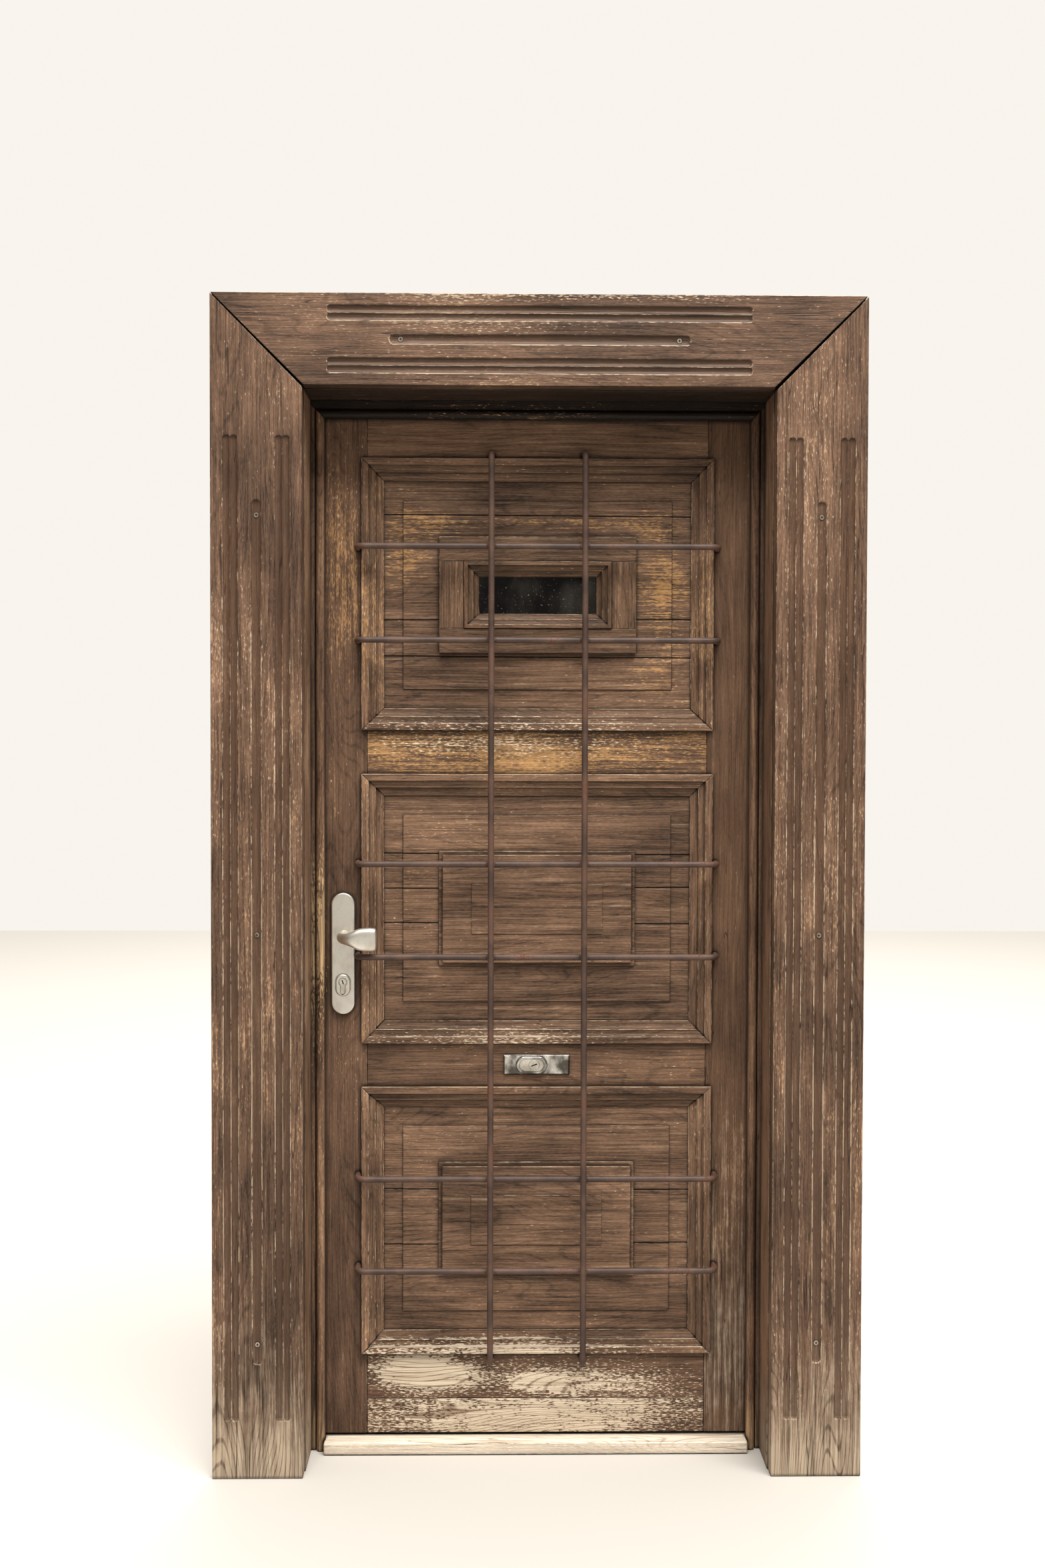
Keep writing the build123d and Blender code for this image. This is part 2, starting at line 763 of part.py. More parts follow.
def outer_furniture():
    """Outer plate, cylinder guard, cylinder and plug."""
    plate = handle_plate(-outer_plate_thickness, 0)
    plate = fillet(plate.faces().sort_by(Axis.Y)[0].edges(), plate_edge_radius)
    guard_front = -outer_plate_thickness - guard_rise
    guard = slab(Pos(lock_x, guard_centre) * SlotOverall(guard_height, guard_width, rotation=90),
                 guard_front, -outer_plate_thickness)
    guard = fillet(guard.faces().sort_by(Axis.Y)[0].edges(), plate_edge_radius)
    clearance = slab(cylinder_outline(profile_clearance), guard_front - overrun, overrun)
    plate -= clearance
    guard -= clearance
    cylinder_span = (guard_front + cylinder_recess, leaf_thickness + inner_plate_thickness + cylinder_recess)
    cylinder = slab(cylinder_outline(), *cylinder_span)
    cylinder -= rod(plug_radius + running_clearance, (lock_x, cylinder_span[0], cylinder_height), (0, 1, 0),
                    cylinder_span[1] - cylinder_span[0])
    plug = key_plug(lock_x, cylinder_height, plug_radius, cylinder_span, key_slot_width, key_slot_height,
                    key_slot_angle_deg)
    return plate, guard, cylinder, plug


def inner_plate():
    """Inner plate with the lever's bearing and the cylinder's cut-out."""
    back = leaf_thickness + inner_plate_thickness
    plate = handle_plate(leaf_thickness, back)
    plate = fillet(plate.faces().sort_by(Axis.Y)[-1].edges(), plate_edge_radius)
    plate -= slab(cylinder_outline(profile_clearance), leaf_thickness - overrun, back + overrun)
    plate -= rod(collar_radius + running_clearance, (lock_x, leaf_thickness, spindle_height), (0, 1, 0),
                 inner_plate_thickness)
    return plate


def outer_knob():
    """Fixed knob: a neck that flares sideways from the plate into a cushion-shaped grip."""
    root = -outer_plate_thickness
    grip_back = root - knob_neck_depth
    grip_x = lock_x + knob_reach

    def level(y):
        return Plane((0, y, 0), x_dir=(1, 0, 0), z_dir=(0, -1, 0))

    foot = level(root) * (Pos(lock_x, spindle_height) * Circle(knob_stem_radius))
    flare = Ellipse(knob_width / 2 * knob_neck_share, knob_height / 2 * knob_neck_share)
    shoulder = level(grip_back) * (Pos(grip_x, spindle_height) * flare)
    neck = loft([foot, shoulder])
    grip = slab(Pos(grip_x, spindle_height) * RectangleRounded(knob_width, knob_height, knob_corner_radius),
                grip_back - knob_depth, grip_back)
    rims = grip.faces().sort_by(Axis.Y)
    grip = fillet(rims[0].edges() + rims[-1].edges(), knob_edge_radius)
    return neck + grip


def inner_lever():
    """Lever with its collar and square spindle, stored pressed down."""
    axis_point = (lock_x, 0, spindle_height)
    plate_back = leaf_thickness + inner_plate_thickness
    collar_start = plate_back - collar_seat
    collar = rod(collar_radius, (lock_x, collar_start, spindle_height), (0, 1, 0), collar_reach)
    arm_back = collar_start + collar_reach
    arm = block((lock_x - lever_height / 2, lock_x + lever_length),
                (arm_back - lever_thickness, arm_back), around(spindle_height, lever_height))
    arm = fillet(arm.edges(), lever_edge_radius)
    spindle = block(around(lock_x, spindle_size),
                    (lock_mid_y - spindle_case_reach, collar_start + collar_seat),
                    around(spindle_height, spindle_size))
    lever = collar + arm + spindle
    return lever.rotate(Axis(axis_point, (0, 1, 0)), lever_angle_deg)


def lock_case_spans(margin=0):
    """Outer spans of the lock case behind its forend."""
    front = -leaf_half + forend_thickness
    return ((front, front + lock_case_depth + margin), around(lock_mid_y, lock_case_thickness + 2 * margin),
            around(lock_case_centre, lock_case_height + 2 * margin))


def forend(margin=0):
    """Face strip of the lock, flush with the leaf's edge."""
    return block((-leaf_half, -leaf_half + forend_thickness), around(lock_mid_y, forend_width + 2 * margin),
                 around(lock_case_centre, forend_height + 2 * margin))


def lock_pocket():
    """Mortise for the lock and the holes for its spindle and cylinder."""
    pocket = block(*lock_case_spans(pocket_clearance)) + forend(pocket_clearance)
    spindle_hole = rod(collar_radius, (lock_x, lock_mid_y, spindle_height), (0, 1, 0),
                       leaf_thickness - lock_mid_y + overrun)
    cylinder_hole = slab(cylinder_outline(profile_clearance), -overrun, leaf_thickness + overrun)
    return pocket + spindle_hole + cylinder_hole


def lock_case():
    """Hollow lock case with its forend, open for the bolts, the spindle and the cylinder."""
    spans = lock_case_spans()
    walls = (0, lock_wall, lock_wall)
    hollow = block(*[(span[0] + wall, span[1] - lock_wall) for span, wall in zip(spans, walls)])
    case = block(*spans) - hollow + forend()
    mouth = (-leaf_half - overrun, -leaf_half + forend_thickness + overrun)
    for middle, height, _ in bolt_ways():
        case -= block(mouth, around(lock_mid_y, bolt_thickness + 2 * bolt_clearance),
                      around(middle, height + 2 * bolt_clearance))
    hub_hole = spindle_size / 2 * 2 ** 0.5 + spindle_hole_clearance
    case -= rod(hub_hole, (lock_x, spans[1][0] - overrun, spindle_height), (0, 1, 0),
                lock_case_thickness + 2 * overrun)
    case -= slab(cylinder_outline(profile_clearance), -overrun, leaf_thickness + overrun)
    return case


def latch_bolt():
    """Latch drawn flush, its nose bevelled on the street side, with its tail behind."""
    nose_x = -leaf_half
    low, high = around(latch_centre, latch_height)
    front, back = around(lock_mid_y, bolt_thickness)
    outline = make_face(Polyline((nose_x, back), (nose_x + latch_length, back),
                                 (nose_x + latch_length, front), (nose_x + latch_bevel, front), close=True))
    head = extrude(Pos(0, 0, low) * outline, high - low, dir=(0, 0, 1))
    tail = block((nose_x + latch_length, nose_x + latch_length + latch_tail_length),
                 around(lock_mid_y, bolt_thickness), (latch_centre, latch_centre + latch_tail_height))
    return head + tail


def deadbolt():
    """Plain bolt, drawn flush with the forend."""
    return block((-leaf_half, -leaf_half + deadbolt_length), around(lock_mid_y, bolt_thickness),
                 around(deadbolt_centre, deadbolt_height))


def strike_blank(margin=0):
    """Outline of the strike plate, let into the jamb."""
    centre = (latch_centre + deadbolt_centre) / 2
    return block((-rebate_half - strike_thickness - margin, -rebate_half),
                 around(lock_mid_y, strike_width + 2 * margin), around(centre, strike_height + 2 * margin))


def strike_plate():
    """Strike plate with a hole for each bolt."""
    plate = strike_blank()
    through = (-rebate_half - strike_thickness - overrun, -rebate_half + overrun)
    for middle, height, _ in bolt_ways():
        plate -= block(through, around(lock_mid_y, bolt_thickness + 2 * strike_clearance),
                       around(middle, height + 2 * strike_clearance))
    return plate


# Centre lock

def centre_cylinder_outline(margin=0):
    """Oval of the centre cylinder, lying across the rail."""
    oval = SlotOverall(centre_cylinder_width + 2 * margin, centre_cylinder_height + 2 * margin)
    return Pos(-oval_offset, lock_rail_centre) * oval


def centre_lock():
    """Rosette, cylinder, plug and inside case of the centre lock."""
    face = -rosette_thickness
    oval_front = face - oval_rise
    plate = slab(Pos(0, lock_rail_centre) * Rectangle(rosette_width, rosette_height), face, 0)
    plate = chamfer(plate.faces().sort_by(Axis.Y)[0].edges(), rosette_bevel)
    oval = slab(Pos(-oval_offset, lock_rail_centre) * SlotOverall(oval_width, oval_height), oval_front, 0)
    oval = fillet(oval.faces().sort_by(Axis.Y)[0].edges(), rosette_bevel)
    rosette = plate + oval - slab(centre_cylinder_outline(profile_clearance), oval_front - overrun, overrun)

    case_back = leaf_thickness + centre_case_depth
    cylinder_span = (oval_front + cylinder_recess, leaf_thickness + centre_case_wall)
    cylinder = slab(centre_cylinder_outline(), *cylinder_span)
    cylinder -= rod(centre_plug_radius + running_clearance,
                    (centre_plug_x, cylinder_span[0], lock_rail_centre), (0, 1, 0),
                    cylinder_span[1] - cylinder_span[0])
    plug = key_plug(centre_plug_x, lock_rail_centre, centre_plug_radius, cylinder_span, centre_slot_width,
                    centre_slot_height, -centre_slot_angle_deg)

    shell = block(around(0, centre_case_width), (leaf_thickness, case_back),
                  around(lock_rail_centre, centre_case_height))
    inner_width = centre_case_width - 2 * centre_case_wall
    inner_height = centre_case_height - 2 * centre_case_wall
    shell -= block(around(0, inner_width), (leaf_thickness + centre_case_wall, case_back - centre_case_wall),
                   around(lock_rail_centre, inner_height))
    shell -= cross_bar_way(around(0, centre_case_width + 2 * overrun), cross_bar_clearance)
    shell -= slab(centre_cylinder_outline(profile_clearance), leaf_thickness - overrun,
                  leaf_thickness + centre_case_wall)
    return rosette, cylinder, plug, shell


def cross_bar_way(x_span, margin=0):
    """Space of the cross bar over a stretch of its path, grown by a margin."""
    return block(x_span, (cross_bar_front - margin, cross_bar_back + margin),
                 around(lock_rail_centre, cross_bar_height + 2 * margin))


def bracket(x_span, margin):
    """Box bracket round the cross bar, on whatever lies behind it."""
    frame = block(x_span, (leaf_thickness, cross_bar_back + margin + guide_wall),
                  around(lock_rail_centre, cross_bar_height + 2 * (margin + guide_foot)))
    return frame - cross_bar_way((x_span[0] - overrun, x_span[1] + overrun), margin)


def cross_bar_pieces():
    """The sliding bar, its two guides on the leaf and its keeper on the jamb."""
    bar = cross_bar_way((cross_bar_end, cross_bar_tail))
    guides = [bracket(around(-leaf_half + guide_edge_inset, guide_width), cross_bar_clearance),
              bracket(around(cross_bar_tail - cross_bar_throw - guide_tail_inset, guide_width),
                      cross_bar_clearance)]
    keeper_inner = -rebate_half - keeper_edge_gap
    keeper = bracket((keeper_inner - keeper_width, keeper_inner), keeper_clearance)
    return bar, guides, keeper


# Assembly and files

def build_pieces():
    """Every node of the door, by name."""
    pieces = {}
    legs_and_head = casing_boards()
    for name, solid in zip(("leg_left", "leg_right", "head"), legs_and_head):
        pieces["casing_" + name] = solid
    pieces["casing_screws"] = casing_screw_solids()
    for name, solid in zip(("left", "right", "head"), lining_boards()):
        pieces["lining_" + name] = solid
    for name, solid in zip(("left", "right", "head"), jamb_members()):
        pieces["jamb_" + name] = solid
    pieces["threshold"] = threshold_solid()
    pieces["strike_plate"] = strike_plate()
    pieces["hinge_frame_halves"], pieces["hinge_leaf_halves"] = hinge_halves()
    pieces.update(rails())
    pieces["lock_stile"], pieces["hinge_stile"] = stiles()
    rows = ("lower", "middle", "upper")
    for row, low, panel in zip(rows, opening_bottoms, panel_solids()):
        pieces[row + "_panel"] = panel
        across, upright = mitred_frame(moulding_section(), moulding_width, 0, moulding_half,
                                       low - moulding_lap, low + opening_height + moulding_lap)
        pieces[row + "_moulding_rails"] = across
        pieces[row + "_moulding_sides"] = upright
    pieces["panel_bosses"] = boss_solids()
    (pieces["window_surround"], pieces["window_moulding"], pieces["window_glass"],
     pieces["window_beads"]) = window_pieces()
    pieces.update(grille())
    (pieces["outer_handle_plate"], pieces["cylinder_guard"], pieces["lock_cylinder"],
     pieces["key_plug"]) = outer_furniture()
    pieces["outer_knob"] = outer_knob()
    pieces["inner_handle_plate"] = inner_plate()
    pieces["inner_lever"] = inner_lever()
    pieces["lock_case"] = lock_case()
    pieces["latch_bolt"] = latch_bolt()
    pieces["deadbolt"] = deadbolt()
    (pieces["centre_rosette"], pieces["centre_cylinder"], pieces["centre_key_plug"],
     pieces["centre_lock_case"]) = centre_lock()
    pieces["cross_bar"], pieces["cross_bar_guides"], pieces["cross_bar_keeper"] = cross_bar_pieces()
    return pieces


os.makedirs("parts", exist_ok=True)
for node, solids in build_pieces().items():
    shape = Compound(children=solids) if isinstance(solids, list) else solids
    shape.label = node
    export_step(shape, f"parts/{node}.step")
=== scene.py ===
import json
from math import copysign, cos, pi, radians, sin

import bmesh
import bpy
from mathutils import Matrix, Vector, noise

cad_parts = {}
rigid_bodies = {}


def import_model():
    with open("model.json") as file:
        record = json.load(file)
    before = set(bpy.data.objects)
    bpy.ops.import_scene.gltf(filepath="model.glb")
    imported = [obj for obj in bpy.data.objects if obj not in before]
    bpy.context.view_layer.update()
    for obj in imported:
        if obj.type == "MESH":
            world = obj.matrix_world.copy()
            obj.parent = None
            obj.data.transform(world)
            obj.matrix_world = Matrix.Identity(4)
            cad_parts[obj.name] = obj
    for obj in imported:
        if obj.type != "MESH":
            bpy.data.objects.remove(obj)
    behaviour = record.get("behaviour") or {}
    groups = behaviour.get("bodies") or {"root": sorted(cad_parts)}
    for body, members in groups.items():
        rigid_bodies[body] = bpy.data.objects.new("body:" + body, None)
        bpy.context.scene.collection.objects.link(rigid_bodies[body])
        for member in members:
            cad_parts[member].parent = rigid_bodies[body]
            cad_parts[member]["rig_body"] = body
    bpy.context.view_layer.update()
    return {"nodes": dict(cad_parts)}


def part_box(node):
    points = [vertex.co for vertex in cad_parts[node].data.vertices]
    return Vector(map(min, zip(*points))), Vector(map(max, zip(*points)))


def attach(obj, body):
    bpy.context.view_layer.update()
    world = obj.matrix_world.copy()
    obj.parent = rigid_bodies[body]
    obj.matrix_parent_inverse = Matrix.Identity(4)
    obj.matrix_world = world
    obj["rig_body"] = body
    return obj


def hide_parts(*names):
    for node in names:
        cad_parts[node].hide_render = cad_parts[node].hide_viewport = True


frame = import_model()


# Casing: three fluted softwood boards round the opening, mitred at the top corners.
# Brown oil paint is kept in the flutes and weathered off between them, and the feet are bleached bare.
# The mitres have shrunk open towards the inner corner.

def colour(red, green, blue):
    """Linear colour from screen values of 0 to 255."""
    shares = [value / 255 for value in (red, green, blue)]
    return tuple(s / 12.92 if s <= 0.04045 else ((s + 0.055) / 1.055) ** 2.4 for s in shares) + (1.0,)


def join(tree, sockets, made):
    """Give each socket a value or the output of another node."""
    for key, value in sockets.items():
        if isinstance(value, bpy.types.NodeSocket):
            tree.links.new(value, made.inputs[key])
        else:
            made.inputs[key].default_value = value


def add(tree, kind, sockets=None, **settings):
    """New shader node with its settings and sockets."""
    made = tree.nodes.new("ShaderNode" + kind)
    for key, value in settings.items():
        setattr(made, key, value)
    join(tree, sockets or {}, made)
    return made


def calc(tree, operation, *values):
    """Output of a math node."""
    return add(tree, "Math", dict(enumerate(values)), operation=operation).outputs[0]


def weigh(tree, base, *parts):
    """Base plus each value times its weight."""
    total = base
    for weight, value in parts:
        total = calc(tree, "MULTIPLY_ADD", value, weight, total)
    return total


def times(tree, first, *others):
    """Product of several masks."""
    for other in others:
        first = calc(tree, "MULTIPLY", first, other)
    return first


def most(tree, first, second):
    """The larger of two masks."""
    return calc(tree, "MAXIMUM", first, second)


def step(tree, value, low, high):
    """Smooth step from 0 at low to 1 at high."""
    sockets = {"Value": value, "From Min": low, "From Max": high}
    return add(tree, "MapRange", sockets, interpolation_type="SMOOTHSTEP").outputs[0]


def blend(tree, factor, first, second, mode="MIX"):
    """Output of a colour mix from first to second."""
    sockets = {0: factor, 6: first, 7: second}
    return add(tree, "Mix", sockets, data_type="RGBA", blend_type=mode).outputs[2]


def scaled(tree, place, scale):
    """Place times a scale for each axis."""
    return add(tree, "VectorMath", {0: place, 1: scale}, operation="MULTIPLY").outputs[0]


def cloud(tree, place, scale, detail=3.0, roughness=0.5):
    """Noise with a number of cells per metre along each axis."""
    sockets = {"Vector": scaled(tree, place, scale), "Scale": 1.0, "Detail": detail, "Roughness": roughness}
    return add(tree, "TexNoise", sockets).outputs["Fac"]


def open_air(tree, reach):
    """Share of the air within a reach that is open: 1 on a free face, less in corners and gaps."""
    return add(tree, "AmbientOcclusion", {"Distance": reach}, samples=4).outputs["AO"]


def crease_dirt(tree, clear, strength):
    """Mask of dirt and painted shade where little air is open: 0 on a free face, rising in corners and gaps.
    """
    sockets = {0: clear, 1: -strength, 2: strength}
    return add(tree, "Math", sockets, operation="MULTIPLY_ADD", use_clamp=True).outputs[0]


def new_group(name, inputs):
    """Node group for a worn surface with its sockets, and its two end nodes."""
    group = bpy.data.node_groups.new(name, "ShaderNodeTree")
    for label, kind in inputs:
        group.interface.new_socket(label, in_out="INPUT", socket_type="NodeSocket" + kind)
    for label, kind in (("Colour", "Color"), ("Roughness", "Float"), ("Height", "Float")):
        group.interface.new_socket(label, in_out="OUTPUT", socket_type="NodeSocket" + kind)
    return group, group.nodes.new("NodeGroupInput").outputs, group.nodes.new("NodeGroupOutput").inputs


paint_tones = ("Paint", "Faded", "Smooth", "Gold", "Bare", "Pale")
wear_amounts = ("Weather", "Streaks", "Flakes", "Bleach", "Kept", "Rub", "Cracks", "Arris")
crack_tone = colour(34, 24, 18)
# Dark tone for dirt and painted shade in wide shelter.
shelter_dirt_and_shade_tone = colour(36, 25, 18)
# Near-black tone for grime and painted shade in tight corners and under faces turned down.
grime_and_shade_tone = colour(19, 13, 9)


def old_paint_group():
    """Oil paint on softwood: faded along the grain, rubbed golden, flaked to pale wood or bleached bare."""
    inputs = [("Place", "Vector")]
    inputs += [(label, "Color") for label in paint_tones]
    inputs += [(label, "Float") for label in wear_amounts]
    group, put, out = new_group("old_paint", inputs)

    # Noise of several sizes, stretched along the grain, and the dark late wood of each year ring.
    place = put["Place"]
    fibre = cloud(group, place, (700, 700, 10), 2.0)
    grain = cloud(group, place, (150, 150, 3.6), 6.0, 0.68)
    band = cloud(group, place, (70, 70, 1.6), 2.0)
    patch = cloud(group, place, (6, 6, 3), 3.0)
    speck = cloud(group, place, (420, 420, 110), 2.0)
    chunk = cloud(group, place, (90, 90, 34), 6.0, 0.66)
    mottle = cloud(group, place, (40, 40, 13), 6.0, 0.68)
    warp = cloud(group, place, (9, 9, 1.6), 1.0)
    axis = add(group, "SeparateXYZ", {0: place}).outputs
    ring = weigh(group, 0.0, (110.0, axis[0]), (55.0, axis[1]), (26.0, warp), (0.5, grain))
    late = step(group, calc(group, "SINE", times(group, ring, 2 * pi)), 0.6, 1.0)

    # Where rain and dirt reach, and where shade falls: faces turned up or down, tight corners, and wide
    # shelter.
    normal = add(group, "SeparateXYZ", {0: add(group, "NewGeometry").outputs["Normal"]}).outputs
    up = step(group, normal[2], 0.3, 0.8)
    down = step(group, normal[2], -0.15, -0.6)
    clear = open_air(group, 0.008)
    # Painted shade and dirt: tight corners within 8 mm get a mask that darkens them, for the shadow and grime
    # there.
    dirt_and_crease_shade = crease_dirt(group, clear, 1.9)
    # Painted shade and dirt: wide shelter within 60 mm is darkened softly.
    shelter_dirt_and_shade = crease_dirt(group, open_air(group, 0.06), 0.8)
    open_wood = weigh(group, 1.0, (-0.8, put["Kept"]))

    # Paint: faded in patches, darker and lighter along the grain, smoother where it is kept.
    tint = weigh(group, 0.0, (0.3, grain), (0.3, fibre), (0.4, patch))
    painted = blend(group, step(group, tint, 0.36, 0.66), put["Paint"], put["Faded"])
    shade = weigh(group, -2.85, (1.3, grain), (0.8, fibre), (0.4, band), (1.0, patch), (1.4, mottle),
                  (0.9, speck), (-0.25, late))
    shade = most(group, weigh(group, 1.0, (1.0, times(group, shade, put["Weather"]))), 0.25)
    painted = blend(group, 1.0, painted, shade, "MULTIPLY")
    even = weigh(group, 0.7, (0.3, shade), (0.3, band))
    smooth = blend(group, 1.0, put["Smooth"], even, "MULTIPLY")
    painted = blend(group, times(group, put["Kept"], 0.7), painted, smooth)

    # Wear: golden streaks, flakes and flecks, rubbed arrises, and wood bleached bare.
    streak_sum = weigh(group, 0.0, (0.25, grain), (0.2, fibre), (0.3, chunk), (0.25, speck))
    streak_edge = weigh(group, 0.9, (-0.4, put["Streaks"]), (-0.36, patch))
    streak = step(group, calc(group, "SUBTRACT", streak_sum, streak_edge), -0.03, 0.05)
    streak = times(group, streak, open_wood)
    flake_sum = weigh(group, 0.0, (0.4, chunk), (0.2, patch), (0.15, grain), (0.25, speck))
    flake_edge = weigh(group, 0.74, (-0.42, put["Flakes"]), (-0.1, up))
    flake = step(group, calc(group, "SUBTRACT", flake_sum, flake_edge), 0.0, 0.025)
    fleck_sum = weigh(group, 0.0, (1.0, speck), (0.4, patch), (0.5, put["Flakes"]))
    fleck = step(group, fleck_sum, 0.98, 1.03)
    worn = times(group, most(group, flake, fleck), open_wood)
    rub_sum = weigh(group, 0.0, (0.6, chunk), (0.4, speck), (0.4, patch), (0.4, put["Rub"]), (0.12, up),
                    (-0.5, down))
    rub = times(group, step(group, rub_sum, 0.88, 1.0), step(group, put["Arris"], 0.2, 0.9), clear)
    worn = most(group, worn, rub)
    bleach_sum = weigh(group, -1.0, (1.0, put["Bleach"]), (1.4, grain), (0.6, chunk))
    bleach = times(group, step(group, bleach_sum, 0.1, 0.95), weigh(group, 1.0, (-0.6, put["Kept"])))
    bared = most(group, worn, bleach)

    # Colours laid over one another, ending with cracks, and with shelter and grime that paint shade as well
    # as dirt.
    wood_sum = weigh(group, 0.0, (0.45, fibre), (0.6, grain), (-0.13, late))
    wood = blend(group, step(group, wood_sum, 0.3, 0.6), put["Bare"], put["Pale"])
    golden = blend(group, 1.0, put["Gold"], shade, "MULTIPLY")
    seen = blend(group, times(group, streak, 0.9), painted, golden)
    seen = blend(group, bared, seen, wood)
    off_line = calc(group, "SUBTRACT", cloud(group, place, (75, 75, 2.2), 2.0), 0.5)
    crack = step(group, calc(group, "ABSOLUTE", off_line), times(group, put["Cracks"], 0.009), 0.0)
    crack = times(group, crack, step(group, band, 0.48, 0.6))
    seen = blend(group, times(group, crack, 0.8), seen, crack_tone)
    seen = blend(group, times(group, shelter_dirt_and_shade, 0.36), seen, shelter_dirt_and_shade_tone)
    # Painted shade and grime: faces turned down are darkened by half towards near black, and tight corners
    # almost fully.
    grime_and_painted_shade = most(group, times(group, dirt_and_crease_shade, 0.95), times(group, down, 0.5))
    group.links.new(blend(group, grime_and_painted_shade, seen, grime_and_shade_tone), out["Colour"])

    rough = weigh(group, 0.46, (0.2, fibre), (0.2, bared), (0.08, streak), (-0.08, put["Kept"]))
    group.links.new(rough, out["Roughness"])
    relief = weigh(group, 0.0, (0.6, fibre), (0.8, grain), (0.4, speck), (-0.7, worn), (-2.0, crack))
    relief = times(group, relief, weigh(group, 1.0, (-0.7, put["Kept"])))
    group.links.new(weigh(group, relief, (0.7, times(group, late, bared))), out["Height"])
    return group


old_paint = old_paint_group()


def new_material(name):
    """Material with its node tree and its shader."""
    material = bpy.data.materials.new(name)
    material.use_nodes = True
    return material, material.node_tree, material.node_tree.nodes["Principled BSDF"]


def dress(tree, shader, wear, strength, distance):
    """Link a worn surface's colour, roughness and height to the shader."""
    bump = add(tree, "Bump", {"Strength": strength, "Distance": distance, "Height": wear.outputs["Height"]})
    join(tree, {"Base Color": wear.outputs["Colour"], "Roughness": wear.outputs["Roughness"],
                "Normal": bump.outputs[0]}, shader)


def wear_field(tree, place, outside, base, spots):
    """A wear amount with soft oval spots on the street side: middle x and z, reach in x and z, strength."""
    total = base
    for x, z, reach_x, reach_z, strength in spots:
        shifted = add(tree, "VectorMath", {0: place, 1: (-x, 0.0, -z)}, operation="ADD").outputs[0]
        oval = scaled(tree, shifted, (1 / reach_x, 0.0, 1 / reach_z))
        near = add(tree, "TexGradient", {0: oval}, gradient_type="SPHERICAL").outputs[1]
        total = weigh(tree, total, (strength, times(tree, near, outside)))
    return total


spots_fade_at = 0.015
spots_end_at = 0.035
head_low, head_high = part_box("casing_head")
flute_rim = head_low.y + 0.0002
flute_floor = head_low.y + 0.0052
lip_edge = 0.0003
lip_depth = 0.0008
kept_edge = 0.001
floor_edge = 0.0006


def old_timber(name, looks, upright, seed, streaks=(), flakes=(), bleach=(), rubs=(), fluted=False):
    """Painted timber with its grain upright or level, and spots of wear; the seed sets one board apart."""
    material, tree, shader = new_material(name)
    place = add(tree, "TexCoord").outputs["Object"]
    turn = (0.0, 0.0, 0.0) if upright else (0.0, pi / 2, 0.0)
    board_place = (seed * 1.7, seed * 0.9, seed * 2.3)
    along = add(tree, "Mapping", {"Vector": place, "Rotation": turn, "Location": board_place}).outputs[0]
    depth = add(tree, "SeparateXYZ", {0: place}).outputs[1]
    outside = step(tree, depth, spots_end_at, spots_fade_at)
    half_weather = looks["weather"] * 0.5
    sockets = {"Place": along, "Arris": add(tree, "Attribute", attribute_name="arris").outputs["Fac"],
               "Weather": weigh(tree, half_weather, (half_weather, outside)),
               "Streaks": wear_field(tree, place, outside, looks["streaks"], streaks),
               "Flakes": wear_field(tree, place, outside, looks["flakes"], flakes),
               "Bleach": wear_field(tree, place, outside, 0.0, bleach),
               "Rub": wear_field(tree, place, outside, looks["rub"], rubs),
               "Kept": 0.0, "Cracks": looks["cracks"]}
    sockets.update({label: looks[label.lower()] for label in paint_tones})
    if fluted:
        lip_foot = flute_rim + lip_depth
        below_lip = step(tree, depth, lip_foot, lip_foot + kept_edge)
        sockets["Kept"] = times(tree, below_lip, step(tree, depth, flute_floor + floor_edge, flute_floor))
        below_rim = step(tree, depth, flute_rim, flute_rim + lip_edge)
        lip = times(tree, below_rim, step(tree, depth, lip_foot + lip_depth, lip_foot))
        sockets["Arris"] = most(tree, sockets["Arris"], lip)
    paint = add(tree, "Group", sockets, node_tree=old_paint)
    shader.inputs["Specular IOR Level"].default_value = 0.22
    dress(tree, shader, paint, strength=0.6, distance=0.0011)
    return material


def sink(mesh, faces, depth):
    """Push faces back into the piece, with sides round them."""
    raised = bmesh.ops.extrude_face_region(mesh, geom=faces)
    moved = [part for part in raised["geom"] if isinstance(part, bmesh.types.BMVert)]
    bmesh.ops.translate(mesh, verts=moved, vec=(0, depth, 0))
    bmesh.ops.delete(mesh, geom=[face for face in faces if face.is_valid], context="FACES_ONLY")


def mesh_data(name, mesh):
    """Finished mesh from the one being worked on, with smooth faces."""
    for face in mesh.faces:
        face.smooth = True
    data = bpy.data.meshes.new(name)
    mesh.to_mesh(data)
    mesh.free()
    return data


same_point = 2e-6
flat_angle = radians(0.6)
arris_angle = radians(28)
crease_angle = radians(50)


